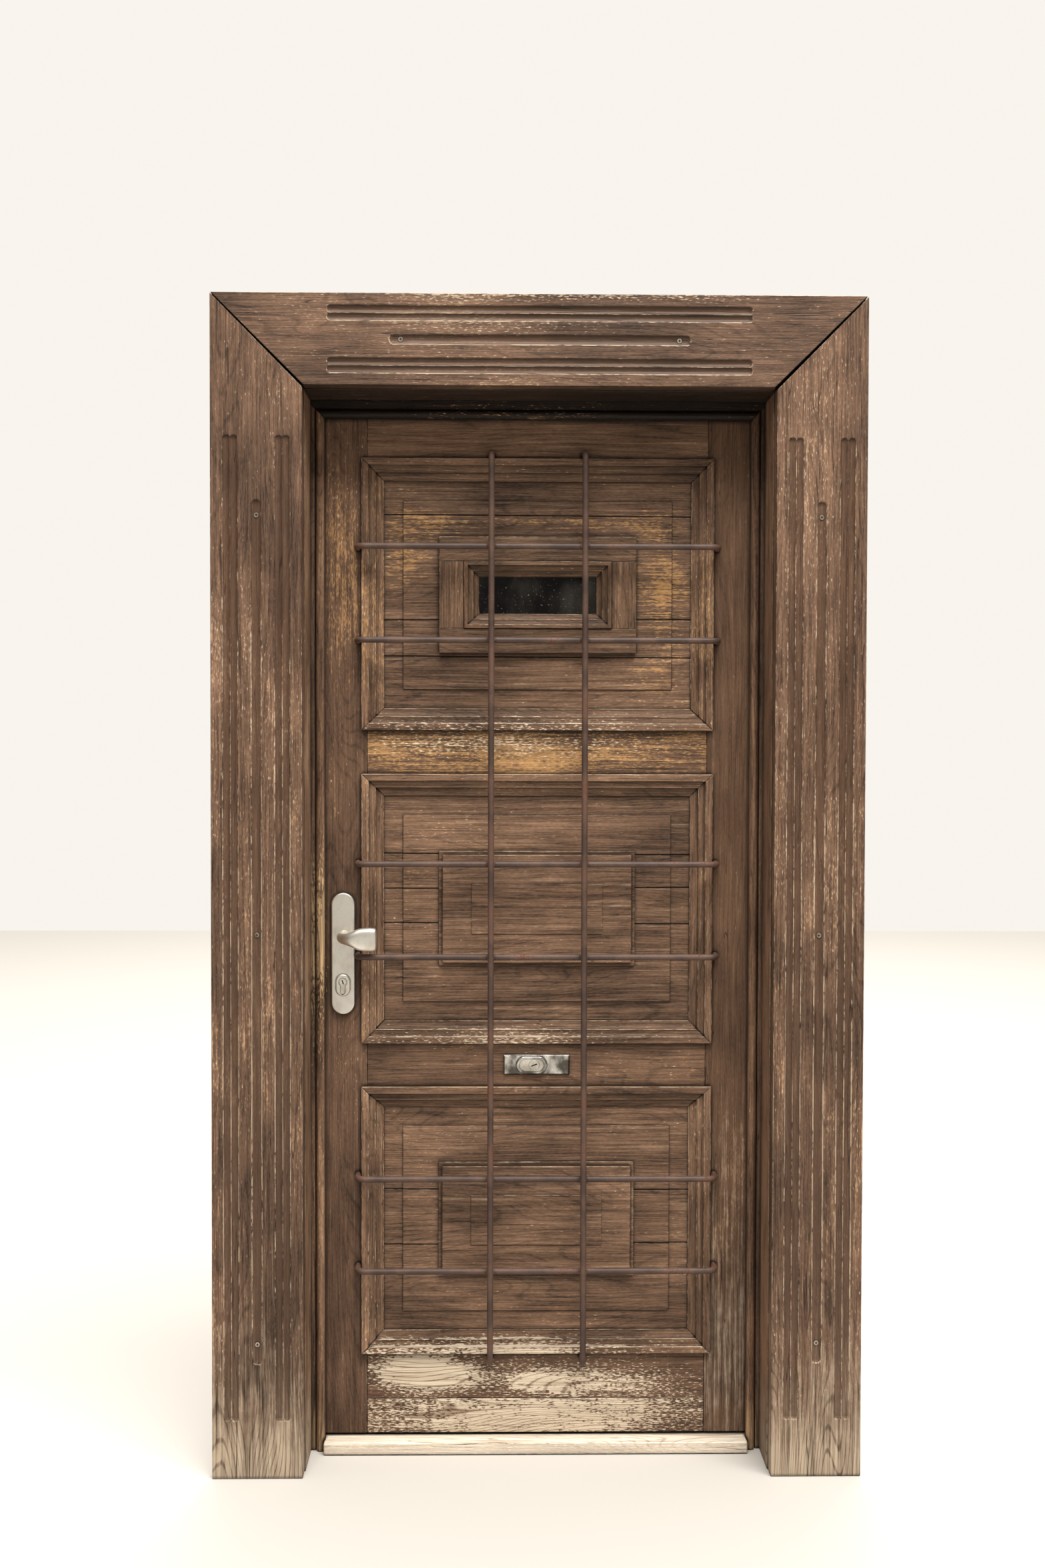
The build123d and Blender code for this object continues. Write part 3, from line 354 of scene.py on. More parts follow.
def worn_copy(node, arris=0.0012, chip=0.0008, spacing=0.013, shape=None):
    """Copy of a CAD node with worn, chipped arrises; shape can change the copy first."""
    mesh = bmesh.new()
    mesh.from_mesh(frame["nodes"][node].data)
    bmesh.ops.remove_doubles(mesh, verts=mesh.verts, dist=same_point)
    bmesh.ops.dissolve_limit(mesh, angle_limit=flat_angle, verts=mesh.verts, edges=mesh.edges)
    if shape:
        shape(mesh)

    def sharp_edges():
        return [edge for edge in mesh.edges
                if len(edge.link_faces) == 2 and edge.calc_face_angle_signed(0) > arris_angle]

    for edge in sharp_edges():
        corner = edge.verts[0]
        for parts in range(int(edge.calc_length() / spacing), 1, -1):
            corner = bmesh.utils.edge_split(edge, corner, 1 / parts)[1]
    made = bmesh.ops.bevel(mesh, geom=sharp_edges(), offset=arris, segments=2, profile=0.5, affect="EDGES",
                           clamp_overlap=chip == 0)
    rounded = set(made["faces"])
    layer = mesh.verts.layers.float.new("arris")
    mesh.normal_update()
    for vert in mesh.verts:
        if vert.link_faces and all(face in rounded for face in vert.link_faces):
            vert[layer] = 1.0
            nick = max(0.0, noise.noise(vert.co * 60) + 0.15)
            gouge = 2 * max(0.0, noise.noise(vert.co * 23) - 0.45)
            vert.co -= vert.normal * chip * (nick + gouge)
    for edge in mesh.edges:
        edge.smooth = len(edge.link_faces) == 2 and edge.calc_face_angle(0) < crease_angle
    return mesh_data(node + "_worn", mesh)


def put_in_scene(name, data):
    """New object in the scene."""
    made = bpy.data.objects.new(name, data)
    bpy.context.scene.collection.objects.link(made)
    return made


def stand_for(node, data, material):
    """New piece from a mesh that stands for a CAD node and rides on its body."""
    piece = put_in_scene(node + "_piece", data)
    data.materials.clear()
    data.materials.append(material)
    steady = piece.modifiers.new("even_normals", "WEIGHTED_NORMAL")
    steady.keep_sharp = True
    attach(piece, frame["nodes"][node]["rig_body"])
    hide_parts(node)
    return piece


board_width = head_high.z - head_low.z
mitre_gaps = {-1: (0.0016, 0.0044), 1: (0.0022, 0.0062)}
mitre_share = 0.7
touch = 1e-4


def open_mitres(mesh, of_head):
    """Draw the front of each mitre back, more at the inner corner, so that a dark wedge shows."""
    for vert in mesh.verts:
        side = 1 if vert.co.x > 0 else -1
        rise = vert.co.z - head_low.z
        from_mitre = abs(vert.co.x) - (head_high.x - board_width) - rise
        if abs(from_mitre) < touch and rise > -touch and vert.co.y < head_low.y + touch:
            outer, inner = mitre_gaps[side]
            shift = (inner + (outer - inner) * rise / board_width) * mitre_share
            if of_head:
                vert.co.x -= side * shift
            else:
                vert.co.z -= shift


casing_arris = 0.0015
casing_looks = {"paint": colour(76, 57, 44), "faded": colour(112, 86, 68), "smooth": colour(80, 59, 45),
                "gold": colour(144, 115, 88), "bare": colour(98, 80, 64), "pale": colour(186, 168, 145),
                "weather": 1.2, "streaks": 0.28, "flakes": 0.2, "rub": 0.42, "cracks": 1.5}
for number, side in enumerate(("left", "right")):
    node = "casing_leg_" + side
    low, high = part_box(node)
    middle = (low.x + high.x) / 2
    golden = [(middle, 0.8, 0.5, 0.9, 0.14)]
    feet = [(middle, 0.0, 2.0, 0.42, 0.62), (middle, -0.02, 2.0, 0.14, 0.36)]
    splashed = [(middle, 0.7, 3.0, 0.95, 0.4)]
    finish = old_timber(node, casing_looks, upright=True, seed=1.0 + number, streaks=golden, bleach=feet,
                        rubs=splashed, fluted=True)
    leg = worn_copy(node, casing_arris, shape=lambda mesh: open_mitres(mesh, of_head=False))
    stand_for(node, leg, finish)
head_looks = dict(casing_looks, weather=1.1, smooth=colour(78, 57, 42), rub=0.66)
rained_on = [(0.1, head_high.z, 0.5, 0.02, 0.5), (0.0, head_high.z - 0.055, 0.3, 0.03, 0.25)]
finish = old_timber("casing_head", head_looks, upright=False, seed=3.0, flakes=rained_on, fluted=True)
head = worn_copy("casing_head", casing_arris, shape=lambda mesh: open_mitres(mesh, of_head=True))
stand_for("casing_head", head, finish)


# Casing screws: zinc-plated steel screws in the single flutes, gone dull.
# Each head stands a little out of the flute's floor and has a driver's cross pressed into it.

def worn_metal_group():
    """Metal with fine brushing, cloudy finger marks, specks and grime in its corners, which also paints shade
    there; on chrome the cloudy dull tone is a painted reflection.
    """
    inputs = [("Place", "Vector"), ("Tone", "Color"), ("Dull_and_reflection", "Color"), ("Rough", "Float")]
    inputs += [("Brushed", "Float")]
    group, put, out = new_group("worn_metal", inputs)
    place = put["Place"]
    hairs = cloud(group, place, (1800, 1800, 30), 2.0)
    grit = cloud(group, place, (420, 420, 420), 3.0)
    smudge = cloud(group, place, (34, 34, 24), 4.0)
    dirt_and_crease_shade = crease_dirt(group, open_air(group, 0.003), 1.5)
    fine = weigh(group, grit, (1.0, times(group, put["Brushed"], calc(group, "SUBTRACT", hairs, grit))))
    seen = blend(group, step(group, smudge, 0.38, 0.66), put["Tone"], put["Dull_and_reflection"])
    seen = blend(group, times(group, step(group, grit, 0.64, 0.74), 0.5), seen, colour(92, 80, 66))
    # Painted shade and grime: corners within 3 mm are darkened towards near black.
    seen = blend(group, times(group, dirt_and_crease_shade, 0.9), seen, colour(20, 17, 14))
    group.links.new(seen, out["Colour"])
    rough = weigh(group, put["Rough"], (0.24, smudge), (0.14, fine), (0.3, dirt_and_crease_shade))
    group.links.new(calc(group, "SUBTRACT", rough, 0.19), out["Roughness"])
    group.links.new(fine, out["Height"])
    return group


worn_metal = worn_metal_group()


def metal(name, tone, dull_and_reflection, rough, brushed):
    """Bare metal from the worn_metal group."""
    material, tree, shader = new_material(name)
    shader.inputs["Metallic"].default_value = 1.0
    place = add(tree, "TexCoord").outputs["Object"]
    sockets = {"Place": place, "Tone": tone, "Dull_and_reflection": dull_and_reflection, "Rough": rough, "Brushed": brushed}
    wear = add(tree, "Group", sockets, node_tree=worn_metal)
    dress(tree, shader, wear, strength=0.15, distance=0.0002)
    return material


def metal_piece(node, material, arris, shape=None):
    """Metal copy of a CAD node, with rounded edges and no chips."""
    stand_for(node, worn_copy(node, arris, chip=0.0, spacing=1.0, shape=shape), material)


def faces_street(face):
    """Whether a face looks straight out to the street."""
    return face.normal.y < -0.9


cut_slack = 1e-7
screw_proud = 0.0017
screw_reach = 0.01
front_slack = 5e-4
cross_arm = 0.0029
cross_half_width = 0.0007
cross_depth = 0.0022


def press_cross(mesh, centre):
    """Press a driver's cross into one screw head's front face."""
    near = [vert for vert in mesh.verts if (vert.co - centre).xz.length < screw_reach]
    geometry = near + list({edge for vert in near for edge in vert.link_edges})
    geometry += list({face for vert in near for face in vert.link_faces})
    for axis in (Vector((1, 0, 0)), Vector((0, 0, 1))):
        for offset in (-cross_arm, -cross_half_width, cross_half_width, cross_arm):
            cut = bmesh.ops.bisect_plane(mesh, geom=geometry, dist=cut_slack, plane_no=axis,
                                         plane_co=centre + axis * offset)
            geometry = cut["geom"]
    cross = []
    for face in (part for part in geometry if isinstance(part, bmesh.types.BMFace)):
        off = face.calc_center_median() - centre
        beside, along = sorted((abs(off.x), abs(off.z)))
        on_front = faces_street(face) and off.y < front_slack
        if on_front and beside < cross_half_width and along < cross_arm:
            cross.append(face)
    sink(mesh, cross, cross_depth)


def raise_heads(mesh):
    """Raise each screw's head out of the flute's floor and press its cross."""
    front = min(vert.co.y for vert in mesh.verts) - screw_proud
    for vert in mesh.verts:
        if vert.co.y < front + screw_proud + front_slack:
            vert.co.y = front
    centres = set()
    for face in mesh.faces:
        if faces_street(face) and face.calc_center_median().y < front + front_slack:
            centres.add(tuple(round(part, 3) for part in face.calc_center_bounds()))
    for centre in sorted(centres):
        press_cross(mesh, Vector(centre))


zinc = metal("zinc_screws", colour(184, 172, 154), colour(128, 116, 101), rough=0.45, brushed=0.0)
metal_piece("casing_screws", zinc, arris=0.0003, shape=raise_heads)


# Reveal lining: three plain softwood boards between casing and jambs, nailed edge to edge.
# Same paint as the casing, but better kept, since rain hardly reaches it. As painted light the side boards
# are painted lighter than the casing, the left one most; as painted shade the head board is painted darkest.

lining_looks = dict(casing_looks, streaks=0.24, flakes=0.12)
# Painted light and shade: the side boards' paint is lighter than the casing's, the left one most, and the
# head's darker, for the light each gets in the reveal.
lining_lit_and_shaded_looks = {"left": {"paint": colour(104, 80, 62), "faded": colour(142, 113, 90), "streaks": 0.4,
                         "flakes": 0.2},
                "right": {"paint": colour(98, 74, 57), "faded": colour(134, 104, 82)},
                "head": {"paint": colour(50, 37, 29), "faded": colour(72, 55, 43)}}
for number, (side, own_looks) in enumerate(lining_lit_and_shaded_looks.items()):
    node = "lining_" + side
    feet = [(0.0, 0.0, 2.0, 0.25, 0.8)]
    looks = dict(lining_looks, **own_looks)
    finish = old_timber(node, looks, upright=side != "head", seed=4.0 + number, bleach=feet)
    stand_for(node, worn_copy(node), finish)


# Jambs: two posts and a head with a beaded stop and a rebate for the leaf, mitred together.
# Painted softwood, rubbed to pale wood on the lock side's bead. As painted light the posts are painted
# lighter than the casing, the left one most, and as painted shade the head is painted near black.

jamb_looks = dict(casing_looks, gold=colour(150, 112, 74), pale=colour(196, 164, 122), streaks=0.24,
                  flakes=0.12)
# Painted light and shade: the posts' paint is lighter than the casing's, the left one most, and the head's
# near black, for the light each gets.
jamb_lit_and_shaded_looks = {"left": {"paint": colour(98, 74, 57), "faded": colour(134, 105, 82),
                       "gold": colour(140, 110, 84), "streaks": 0.26, "flakes": 0.2},
              "right": {"paint": colour(90, 67, 51), "faded": colour(122, 94, 73)},
              "head": {"paint": colour(24, 17, 12), "faded": colour(34, 25, 18)}}
for number, (side, own_looks) in enumerate(jamb_lit_and_shaded_looks.items()):
    node = "jamb_" + side
    rubbed = [(-0.43, 1.0, 0.3, 0.3, 0.6)]
    feet = [(0.0, 0.0, 2.0, 0.16, 0.7)]
    looks = dict(jamb_looks, **own_looks)
    finish = old_timber(node, looks, upright=side != "head", seed=7.0 + number, flakes=rubbed, bleach=feet)
    stand_for(node, worn_copy(node, arris=0.0009, chip=0.0005), finish)


# Threshold: a bare timber sill between the jambs, let in under the leaf.
# It is worn round by feet and bleached almost white by rain and sun.

sill_looks = {"paint": colour(212, 196, 176), "faded": colour(236, 222, 202), "smooth": colour(220, 206, 186),
              "gold": colour(210, 190, 164), "bare": colour(182, 160, 136), "pale": colour(242, 230, 212),
              "weather": 0.4, "streaks": 0.4, "flakes": 0.5, "rub": 0.6, "cracks": 1.0}
finish = old_timber("threshold", sill_looks, upright=False, seed=10.0)
stand_for("threshold", worn_copy("threshold", arris=0.003, chip=0.002), finish)


# Leaf timber: two stiles and five rails, tenoned together and painted a warm brown.
# The lock stile and the upper cross rail are rubbed golden, the two lowest boards flaked to bare wood.

leaf_looks = {"paint": colour(83, 62, 47), "faded": colour(118, 91, 71), "smooth": colour(112, 86, 69),
              "gold": colour(156, 119, 76), "bare": colour(122, 98, 77), "pale": colour(216, 200, 176),
              "weather": 1.1, "streaks": 0.2, "flakes": 0.1, "rub": 0.42, "cracks": 0.5}
lock_looks = dict(leaf_looks, paint=colour(75, 55, 42), faded=colour(101, 77, 60), gold=colour(142, 108, 72))
lock_gold = [(-0.39, 1.74, 0.12, 0.24, 0.24), (-0.38, 1.5, 0.16, 0.34, 0.16)]
lock_edge = [(-0.434, 1.0, 0.02, 0.25, 0.7)]
finish = old_timber("lock_stile", lock_looks, upright=True, seed=11.0, streaks=lock_gold, flakes=lock_edge)
stand_for("lock_stile", worn_copy("lock_stile"), finish)

shaded_looks = dict(leaf_looks, paint=colour(81, 59, 44), faded=colour(104, 79, 60),
                    gold=colour(124, 97, 75), weather=0.8, streaks=0.1, flakes=0.06)
hinge_gold = [(0.39, 0.4, 0.3, 0.7, 0.4)]
hinge_foot = [(0.39, 0.15, 0.3, 0.7, 0.32)]
finish = old_timber("hinge_stile", shaded_looks, upright=True, seed=12.0, streaks=hinge_gold,
                    bleach=hinge_foot)
stand_for("hinge_stile", worn_copy("hinge_stile"), finish)

rail_arris = 0.0018
rail_amounts = {"top_rail": (0.08, 0.03), "lock_rail": (0.32, 0.14), "upper_cross_rail": (0.46, 0.16),
                "bottom_rail": (0.24, 0.26), "kick_board": (0.3, 0.4)}
rail_gold = {"upper_cross_rail": [(-0.2, 1.41, 0.3, 0.07, 0.22), (0.12, 1.41, 0.35, 0.06, 0.16)]}
rail_flakes = {"upper_cross_rail": [(-0.2, 1.415, 0.25, 0.05, 0.42), (0.1, 1.42, 0.3, 0.045, 0.38)],
               "bottom_rail": [(-0.235, 0.155, 0.16, 0.07, 0.8), (-0.02, 0.135, 0.2, 0.06, 0.42),
                               (0.18, 0.13, 0.24, 0.06, 0.34)],
               "kick_board": [(-0.04, 0.06, 0.5, 0.12, 0.36)]}
for number, (node, (streaks, flakes)) in enumerate(rail_amounts.items()):
    looks = dict(leaf_looks, streaks=streaks, flakes=flakes)
    finish = old_timber(node, looks, upright=False, seed=13.0 + number, streaks=rail_gold.get(node, ()),
                        flakes=rail_flakes.get(node, ()))
    stand_for(node, worn_copy(node, rail_arris), finish)


# Panels: glued-up boards with level grain and a raised field, held loose in grooves.
# The glue lines have opened, and the upper panel is rubbed golden round the window.

panel_looks = dict(leaf_looks, paint=colour(85, 64, 49), faded=colour(121, 94, 74), weather=1.15, cracks=0.3,
                   rub=0.2)
panel_joints = {"upper_panel": (1.871, 1.664, 1.59), "middle_panel": (1.196, 1.128, 1.057),
                "lower_panel": (0.52, 0.41)}
joint_half_width = 0.0009
joint_depth = 0.0024
joint_slope = 0.004
panel_gold = {"upper_panel": [(-0.26, 1.78, 0.12, 0.16, 0.32), (-0.12, 1.855, 0.28, 0.05, 0.36),
                              (0.25, 1.72, 0.1, 0.3, 0.4), (0.12, 1.86, 0.28, 0.04, 0.26)],
              "middle_panel": [(-0.25, 1.16, 0.06, 0.06, 0.3)],
              "lower_panel": [(0.0, 0.28, 0.4, 0.05, 0.12)]}


def open_joints(mesh, heights):
    """Cut a narrow, slightly slanting gap along each glue line."""
    for place, height in enumerate(heights):
        slope = (-1) ** place * joint_slope
        for side in (-1, 1):
            geometry = mesh.verts[:] + mesh.edges[:] + mesh.faces[:]
            bmesh.ops.bisect_plane(mesh, geom=geometry, dist=cut_slack, plane_no=(slope, 0, 1),
                                   plane_co=(0, 0, height + side * joint_half_width))
        gap = []
        for face in mesh.faces:
            middle = face.calc_center_median()
            if faces_street(face) and abs(middle.z + slope * middle.x - height) < joint_half_width:
                gap.append(face)
        sink(mesh, gap, joint_depth)


for number, (node, heights) in enumerate(panel_joints.items()):
    finish = old_timber(node, panel_looks, upright=False, seed=18.0 + number, streaks=panel_gold[node])
    panel = worn_copy(node, shape=lambda mesh: open_joints(mesh, heights))
    stand_for(node, panel, finish)


# Panel bosses: a raised block glued on the middle of the middle and the lower panel.
# Painted with the panels, with more paint rubbed off the edges, which stand proud.

boss_looks = dict(panel_looks, rub=0.4)
finish = old_timber("panel_bosses", boss_looks, upright=False, seed=21.0)
stand_for("panel_bosses", worn_copy("panel_bosses"), finish)


# Window surround and moulding: four flat boards, butted at the corners, and a stepped, mitred moulding.
# Painted softwood, nailed on the upper panel; the grain runs along each board.

def deepen_hollows(mesh, low, high, bands, depth):
    """Scoop each hollow deeper under its step; a band has its two sides and the front of its step."""
    for vert in mesh.verts:
        across = min(high.z - vert.co.z, vert.co.z - low.z, high.x - abs(vert.co.x))
        for start, end, front in bands:
            if start - touch < across < end - touch and front < vert.co.y < high.y - touch:
                vert.co.y += depth * (end - across) / (end - start)


window_looks = dict(boss_looks, paint=colour(79, 59, 44), faded=colour(112, 86, 66))
window_low, window_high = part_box("window_moulding")
window_middle = (window_low.z + window_high.z) / 2
window_bands = ((0.008, 0.019, -0.0062), (0.019, 0.03, 0.0005))
window_hollow_depth = 0.002
butt_slack = 0.0005


def deepen_window(mesh):
    """Scoop the window moulding's two hollows."""
    deepen_hollows(mesh, window_low, window_high, window_bands, window_hollow_depth)


for number, (node, shape) in enumerate((("window_surround", None), ("window_moulding", deepen_window))):
    finish = old_timber(node, window_looks, upright=False, seed=22.0 + number)
    piece = stand_for(node, worn_copy(node, shape=shape), finish)
    side_finish = old_timber(node + "_sides", window_looks, upright=True, seed=22.5 + number)
    piece.data.materials.append(side_finish)
    for face in piece.data.polygons:
        past_top = abs(face.center.z - window_middle) - (window_high.z - window_middle)
        past_side = abs(face.center.x) - window_high.x
        on_side_board = past_top < butt_slack if node == "window_surround" else past_side > past_top
        face.material_index = int(on_side_board)


# Panel mouldings: bolection strips with two hollows, mitred round each panel and nailed to the leaf.
# Their lips are rubbed and chipped to cream, most on the lower strips, where rain splashes.

strip_looks = dict(leaf_looks, paint=colour(88, 66, 50), faded=colour(126, 98, 77), flakes=0.13, rub=0.55)
strip_streaks = 0.24
strip_gold = {"upper": 0.16, "middle": 0.06, "lower": 0.0}
lip_chips = {"upper": 0.4, "middle": 0.4, "lower": 0.7}
hollow_depth = 0.0034
hollow_bands = ((0.0145, 0.028, -0.0085), (0.028, 0.044, -0.0015))
for number, row in enumerate(("upper", "middle", "lower")):
    for upright, name in ((False, "_moulding_rails"), (True, "_moulding_sides")):
        node = row + name
        low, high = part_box(node)
        looks = dict(strip_looks, streaks=strip_streaks + strip_gold[row] * upright)
        chipped = [] if upright else [(-0.1, low.z, 0.5, 0.05, lip_chips[row])]
        finish = old_timber(node, looks, upright, seed=24.0 + 2 * number + upright, flakes=chipped)
        scooped = worn_copy(node, arris=0.0014, chip=0.0011,
                            shape=lambda mesh: deepen_hollows(mesh, low, high, hollow_bands, hollow_depth))
        stand_for(node, scooped, finish)


# Window glass and beads: a small, thin pane, dark and dusty, bedded in the upper panel.
# Four wooden beads hold it from inside, painted with the panels.

finish = old_timber("window_beads", panel_looks, upright=False, seed=31.0)
stand_for("window_beads", worn_copy("window_beads"), finish)


def dusty_glass_material():
    """Dark glass under a thin film of dust."""
    material, tree, shader = new_material("dusty_glass")
    place = add(tree, "TexCoord").outputs["Object"]
    dust = step(tree, cloud(tree, place, (260, 260, 260), 3.0), 0.66, 0.72)
    haze = step(tree, cloud(tree, place, (14, 14, 9), 4.0), 0.4, 0.8)
    film = weigh(tree, 0.0, (0.1, haze), (0.4, dust))
    join(tree, {"Base Color": blend(tree, film, colour(14, 12, 11), colour(170, 164, 152)),
                "Roughness": weigh(tree, 0.12, (0.6, film))}, shader)
    return material


def coat(node, material):
    """Give a CAD node, whose shape is right as it is, its finish."""
    frame["nodes"][node].data.materials.clear()
    frame["nodes"][node].data.materials.append(material)


coat("window_glass", dusty_glass_material())


# Grille: round iron bars with bent ends let into the leaf, the uprights welded on the cross bars.
# Brown paint over the iron, chipped and rusty in places, and lumpy beads at the welds.

def bar_iron_material():
    """Painted iron with chips, a trace of rust, and dirt with painted shade in its corners."""
    material, tree, shader = new_material("bar_iron")
    place = add(tree, "TexCoord").outputs["Object"]
    patch = cloud(tree, place, (16, 16, 16), 4.0)
    speck = cloud(tree, place, (240, 240, 240), 4.0)
    # Painted shade and dirt: corners within 6 mm are darkened towards near black.
    dirt_and_crease_shade = crease_dirt(tree, open_air(tree, 0.006), 1.4)
    tone = blend(tree, step(tree, patch, 0.35, 0.7), colour(58, 41, 33), colour(90, 66, 54))
    tone = blend(tree, 1.0, tone, weigh(tree, 0.5, (1.0, speck)), "MULTIPLY")
    rust = step(tree, weigh(tree, 0.0, (0.5, speck), (0.5, patch)), 0.58, 0.64)
    tone = blend(tree, rust, tone, colour(92, 54, 34))
    pitted = weigh(tree, speck, (-0.6, rust))
    bump = add(tree, "Bump", {"Strength": 0.5, "Distance": 0.0006, "Height": pitted})
    join(tree, {"Base Color": blend(tree, times(tree, dirt_and_crease_shade, 0.85), tone, colour(22, 16, 13)),
                "Roughness": weigh(tree, 0.48, (0.2, speck), (0.3, rust)),
                "Normal": bump.outputs[0]}, shader)
    return material


bar_iron = bar_iron_material()
crossbars = ["grille_crossbar_" + str(number) for number in range(1, 7)]
uprights = ["grille_upright_left", "grille_upright_right"]
for node in crossbars + uprights:
    coat(node, bar_iron)

bead_radius = 0.0052
bead_shape = Vector((0.75, 0.7, 1.15))
bead_proud = 0.001
bead_beside = 0.85
lump_depth = 0.35
mesh = bmesh.new()
for upright in uprights:
    low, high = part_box(upright)
    bar_x = (low.x + high.x) / 2
    for crossbar in crossbars:
        low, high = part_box(crossbar)
        beside = (high.z - low.z) / 2 * bead_beside
        for side in (-1, 1):
            spot = Vector((bar_x + side * beside, low.y - bead_proud, (low.z + high.z) / 2))
            bead = bmesh.ops.create_icosphere(mesh, subdivisions=3, radius=bead_radius)["verts"]
            for vert in bead:
                lump = 1.0 + lump_depth * noise.noise(vert.co * 260 + spot * 40)
                vert.co = spot + vert.co * bead_shape * lump
weld_beads = put_in_scene("grille_weld_beads", mesh_data("grille_weld_beads", mesh))
weld_beads.data.materials.append(bar_iron)
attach(weld_beads, "leaf")


# Handle plates, cylinder guard and lever: satin anodised aluminium, pressed or cast.
# Their edges are softly rounded; the plates are screwed together through the leaf.

satin = metal("satin_aluminium", colour(226, 222, 213), colour(206, 200, 189), rough=0.44, brushed=1.0)
for node in ("outer_handle_plate", "cylinder_guard", "inner_handle_plate", "inner_lever"):
    metal_piece(node, satin, arris=0.0012)


# Outer knob: one aluminium casting with the plates' satin finish, fixed on the outer plate.
# Its neck sweeps from the spindle's line towards the panel and swells into a cushion grip.

knob_low, knob_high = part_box("outer_knob")
plate_to_spindle = 0.023
neck_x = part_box("outer_handle_plate")[0].x + plate_to_spindle
knob_z = (knob_low.z + knob_high.z) / 2
grip_half_depth = 0.012
grip_y = knob_low.y + grip_half_depth
grip_half_height = (knob_high.z - knob_low.z) / 2
ring_points = 32
knob_rings = [(neck_x, knob_high.y, 0, 0.0125, 0.0125, 2.0),
              (neck_x, -0.022, 0, 0.0112, 0.0112, 2.0),
              (neck_x + 0.001, -0.036, 14, 0.0106, 0.0108, 2.0),
              (neck_x + 0.006, -0.048, 44, 0.0102, 0.011, 2.2),
              (neck_x + 0.015, -0.0555, 70, 0.0102, 0.0125, 2.4),
              (neck_x + 0.0245, grip_y, 86, 0.0108, 0.0165, 2.8),
              (neck_x + 0.032, grip_y, 90, 0.0116, 0.0205, 3.2),
              (neck_x + 0.042, grip_y, 90, grip_half_depth, 0.0225, 3.6),
              (neck_x + 0.056, grip_y, 90, grip_half_depth, grip_half_height, 3.6),
              (knob_high.x - 0.004, grip_y, 90, 0.0115, 0.0226, 3.6),
              (knob_high.x - 0.001, grip_y, 90, 0.0095, 0.0205, 3.4),
              (knob_high.x, grip_y, 90, 0.006, 0.015, 3.0)]


def knob_mesh():
    """Loft through rings, each with its middle, turn, half depth, half height and squareness."""
    mesh = bmesh.new()
    rings = []
    for x, y, turn, half_depth, half_height, squareness in knob_rings:
        across = Vector((cos(radians(turn)), sin(radians(turn)), 0.0))
        ring = []
        for point in range(ring_points):
            angle = 2 * pi * point / ring_points
            level = copysign(abs(cos(angle)) ** (2 / squareness), cos(angle)) * half_depth
            rise = copysign(abs(sin(angle)) ** (2 / squareness), sin(angle)) * half_height
            ring.append(mesh.verts.new(Vector((x, y, knob_z + rise)) + across * level))
        rings.append(ring)
    for first, second in zip(rings, rings[1:]):
        for point in range(ring_points):
            after = (point + 1) % ring_points
            mesh.faces.new((first[point], second[point], second[after], first[after]))
    mesh.faces.new(rings[0])
    mesh.faces.new(rings[-1])
    bmesh.ops.recalc_face_normals(mesh, faces=mesh.faces)
    return mesh_data("outer_knob_cast", mesh)


knob = stand_for("outer_knob", knob_mesh(), satin)
knob.modifiers.clear()
rounding = knob.modifiers.new("rounding", "SUBSURF")
rounding.levels = 2
rounding.render_levels = 2


# Lock cylinders and rosette: turned brass cylinders with their key plugs, nickel-plated, gone cloudy.
# The centre lock's cylinder sits in a bright chrome rosette with a broad rounded edge.

lock_arris = 0.0006
nickel = metal("nickel", colour(222, 217, 206), colour(166, 159, 147), rough=0.38, brushed=0.0)
for node in ("lock_cylinder", "key_plug", "centre_cylinder", "centre_key_plug"):
    metal_piece(node, nickel, lock_arris)
# Painted reflection: the chrome's dark dull tone, laid in cloudy patches, stands for the dark street mirrored
# in it.
chrome = metal("chrome", colour(206, 203, 196), colour(84, 80, 75), rough=0.22, brushed=0.0)
metal_piece("centre_rosette", chrome, arris=0.0018)


# Hinges, bolts, lock cases and cross bar: brushed mild steel, punched, bent or turned.
# The hinges and the strike plate are let into the timber, the cross bar's pieces are screwed on inside.

steel = metal("steel", colour(150, 146, 140), colour(112, 106, 98), rough=0.42, brushed=1.0)
for node in ("strike_plate", "hinge_frame_halves", "hinge_leaf_halves", "cross_bar_keeper", "lock_case",
             "cross_bar_guides", "latch_bolt", "deadbolt", "cross_bar"):
    metal_piece(node, steel, lock_arris)
metal_piece("centre_lock_case", steel, lock_arris)


# Stage: a pale floor under soft light from an overcast sky in front and above.
# A weaker lamp behind lights the other side, and the camera stands where the photograph was taken.

floor_half = 9.0
floor_corners = [(-floor_half, -floor_half), (floor_half, -floor_half), (floor_half, floor_half),
                 (-floor_half, floor_half)]
data = bpy.data.meshes.new("floor")
data.from_pydata([(x, y, 0.0) for x, y in floor_corners], [], [(0, 1, 2, 3)])
floor = put_in_scene("floor", data)
material, tree, shader = new_material("pale_floor")
shader.inputs["Base Color"].default_value = colour(190, 186, 180)
shader.inputs["Roughness"].default_value = 0.85
data.materials.append(material)

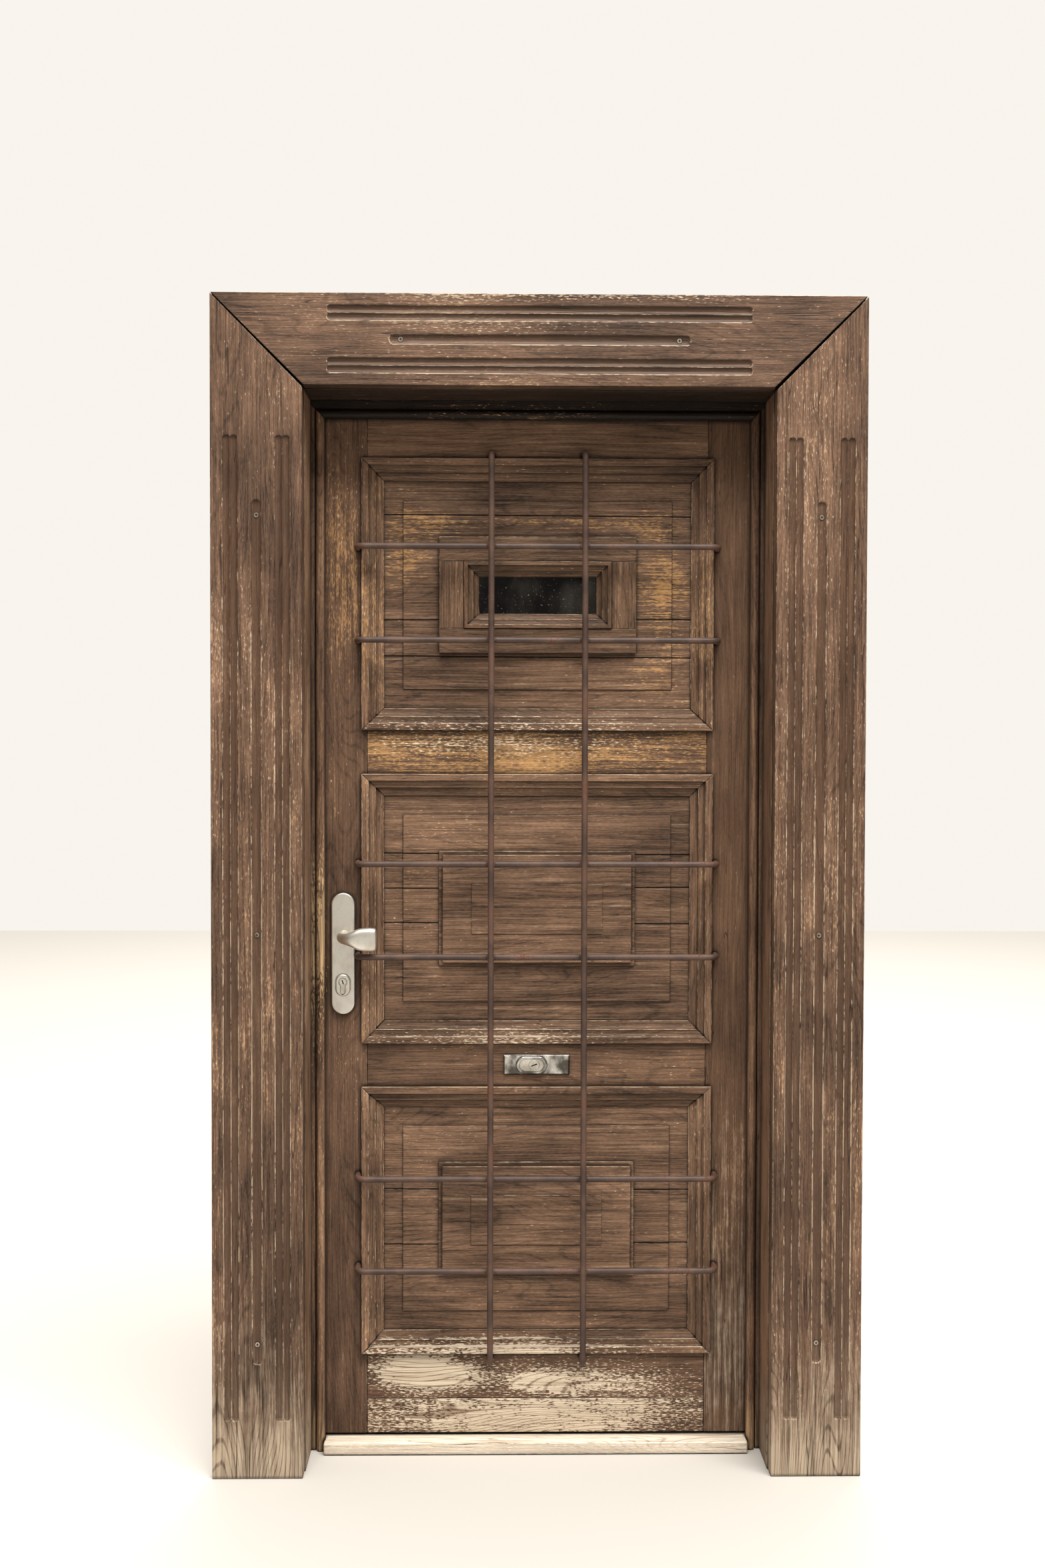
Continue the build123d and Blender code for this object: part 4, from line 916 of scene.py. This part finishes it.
backdrop_strength = 0.97
world = bpy.data.worlds.new("overcast")
world.use_nodes = True
tree = world.node_tree
toward = add(tree, "SeparateXYZ", {0: add(tree, "TexCoord").outputs["Generated"]}).outputs
overhead = weigh(tree, 0.1, (1.2, step(tree, toward[2], 0.05, 0.9)))
behind = times(tree, step(tree, toward[1], -0.1, 0.35), backdrop_strength)
backdrop = add(tree, "LightPath").outputs["Is Camera Ray"]
lighting = times(tree, most(tree, overhead, behind), calc(tree, "SUBTRACT", 1.0, backdrop))
strength = weigh(tree, lighting, (backdrop_strength, backdrop))
join(tree, {"Color": colour(252, 248, 241), "Strength": strength}, tree.nodes["Background"])
bpy.context.scene.world = world


def soft_lamp(name, width, height, watts, place, aim):
    """Large rectangular lamp that points from its place to its aim."""
    light = bpy.data.lights.new(name, "AREA")
    light.shape = "RECTANGLE"
    light.size = width
    light.size_y = height
    light.energy = watts
    light.color = (1.0, 0.97, 0.93)
    lamp = put_in_scene(name, light)
    lamp.location = place
    lamp.rotation_euler = (Vector(aim) - lamp.location).to_track_quat("-Z", "Y").to_euler()


soft_lamp("sky", width=8.1, height=3.6, watts=1480.0, place=(1.4, -3.9, 9.0), aim=(0.0, 0.0, 0.9))
soft_lamp("yard", width=6.0, height=6.0, watts=560.0, place=(0.6, 5.5, 7.5), aim=(0.0, 2.2, 0.0))
bpy.context.scene.view_settings.view_transform = "Standard"

camera_place = Vector((-0.0799, -3.2552, 1.4196))
yaw = radians(0.888)
pitch = radians(-1.461)
roll = radians(0.139)
focal_pixels = 2447.9
picture_height = 2352
forward = Vector((sin(yaw) * cos(pitch), cos(yaw) * cos(pitch), sin(pitch)))
level = Vector((cos(yaw), -sin(yaw), 0.0))
upward = level.cross(forward)
right = level * cos(roll) + upward * sin(roll)
up = upward * cos(roll) - level * sin(roll)
lens = bpy.data.cameras.new("camera")
lens.sensor_width = 36.0
lens.lens = lens.sensor_width * focal_pixels / picture_height
camera = put_in_scene("camera", lens)
camera.matrix_world = Matrix.Translation(camera_place) @ Matrix((right, up, -forward)).transposed().to_4x4()
bpy.context.scene.camera = camera
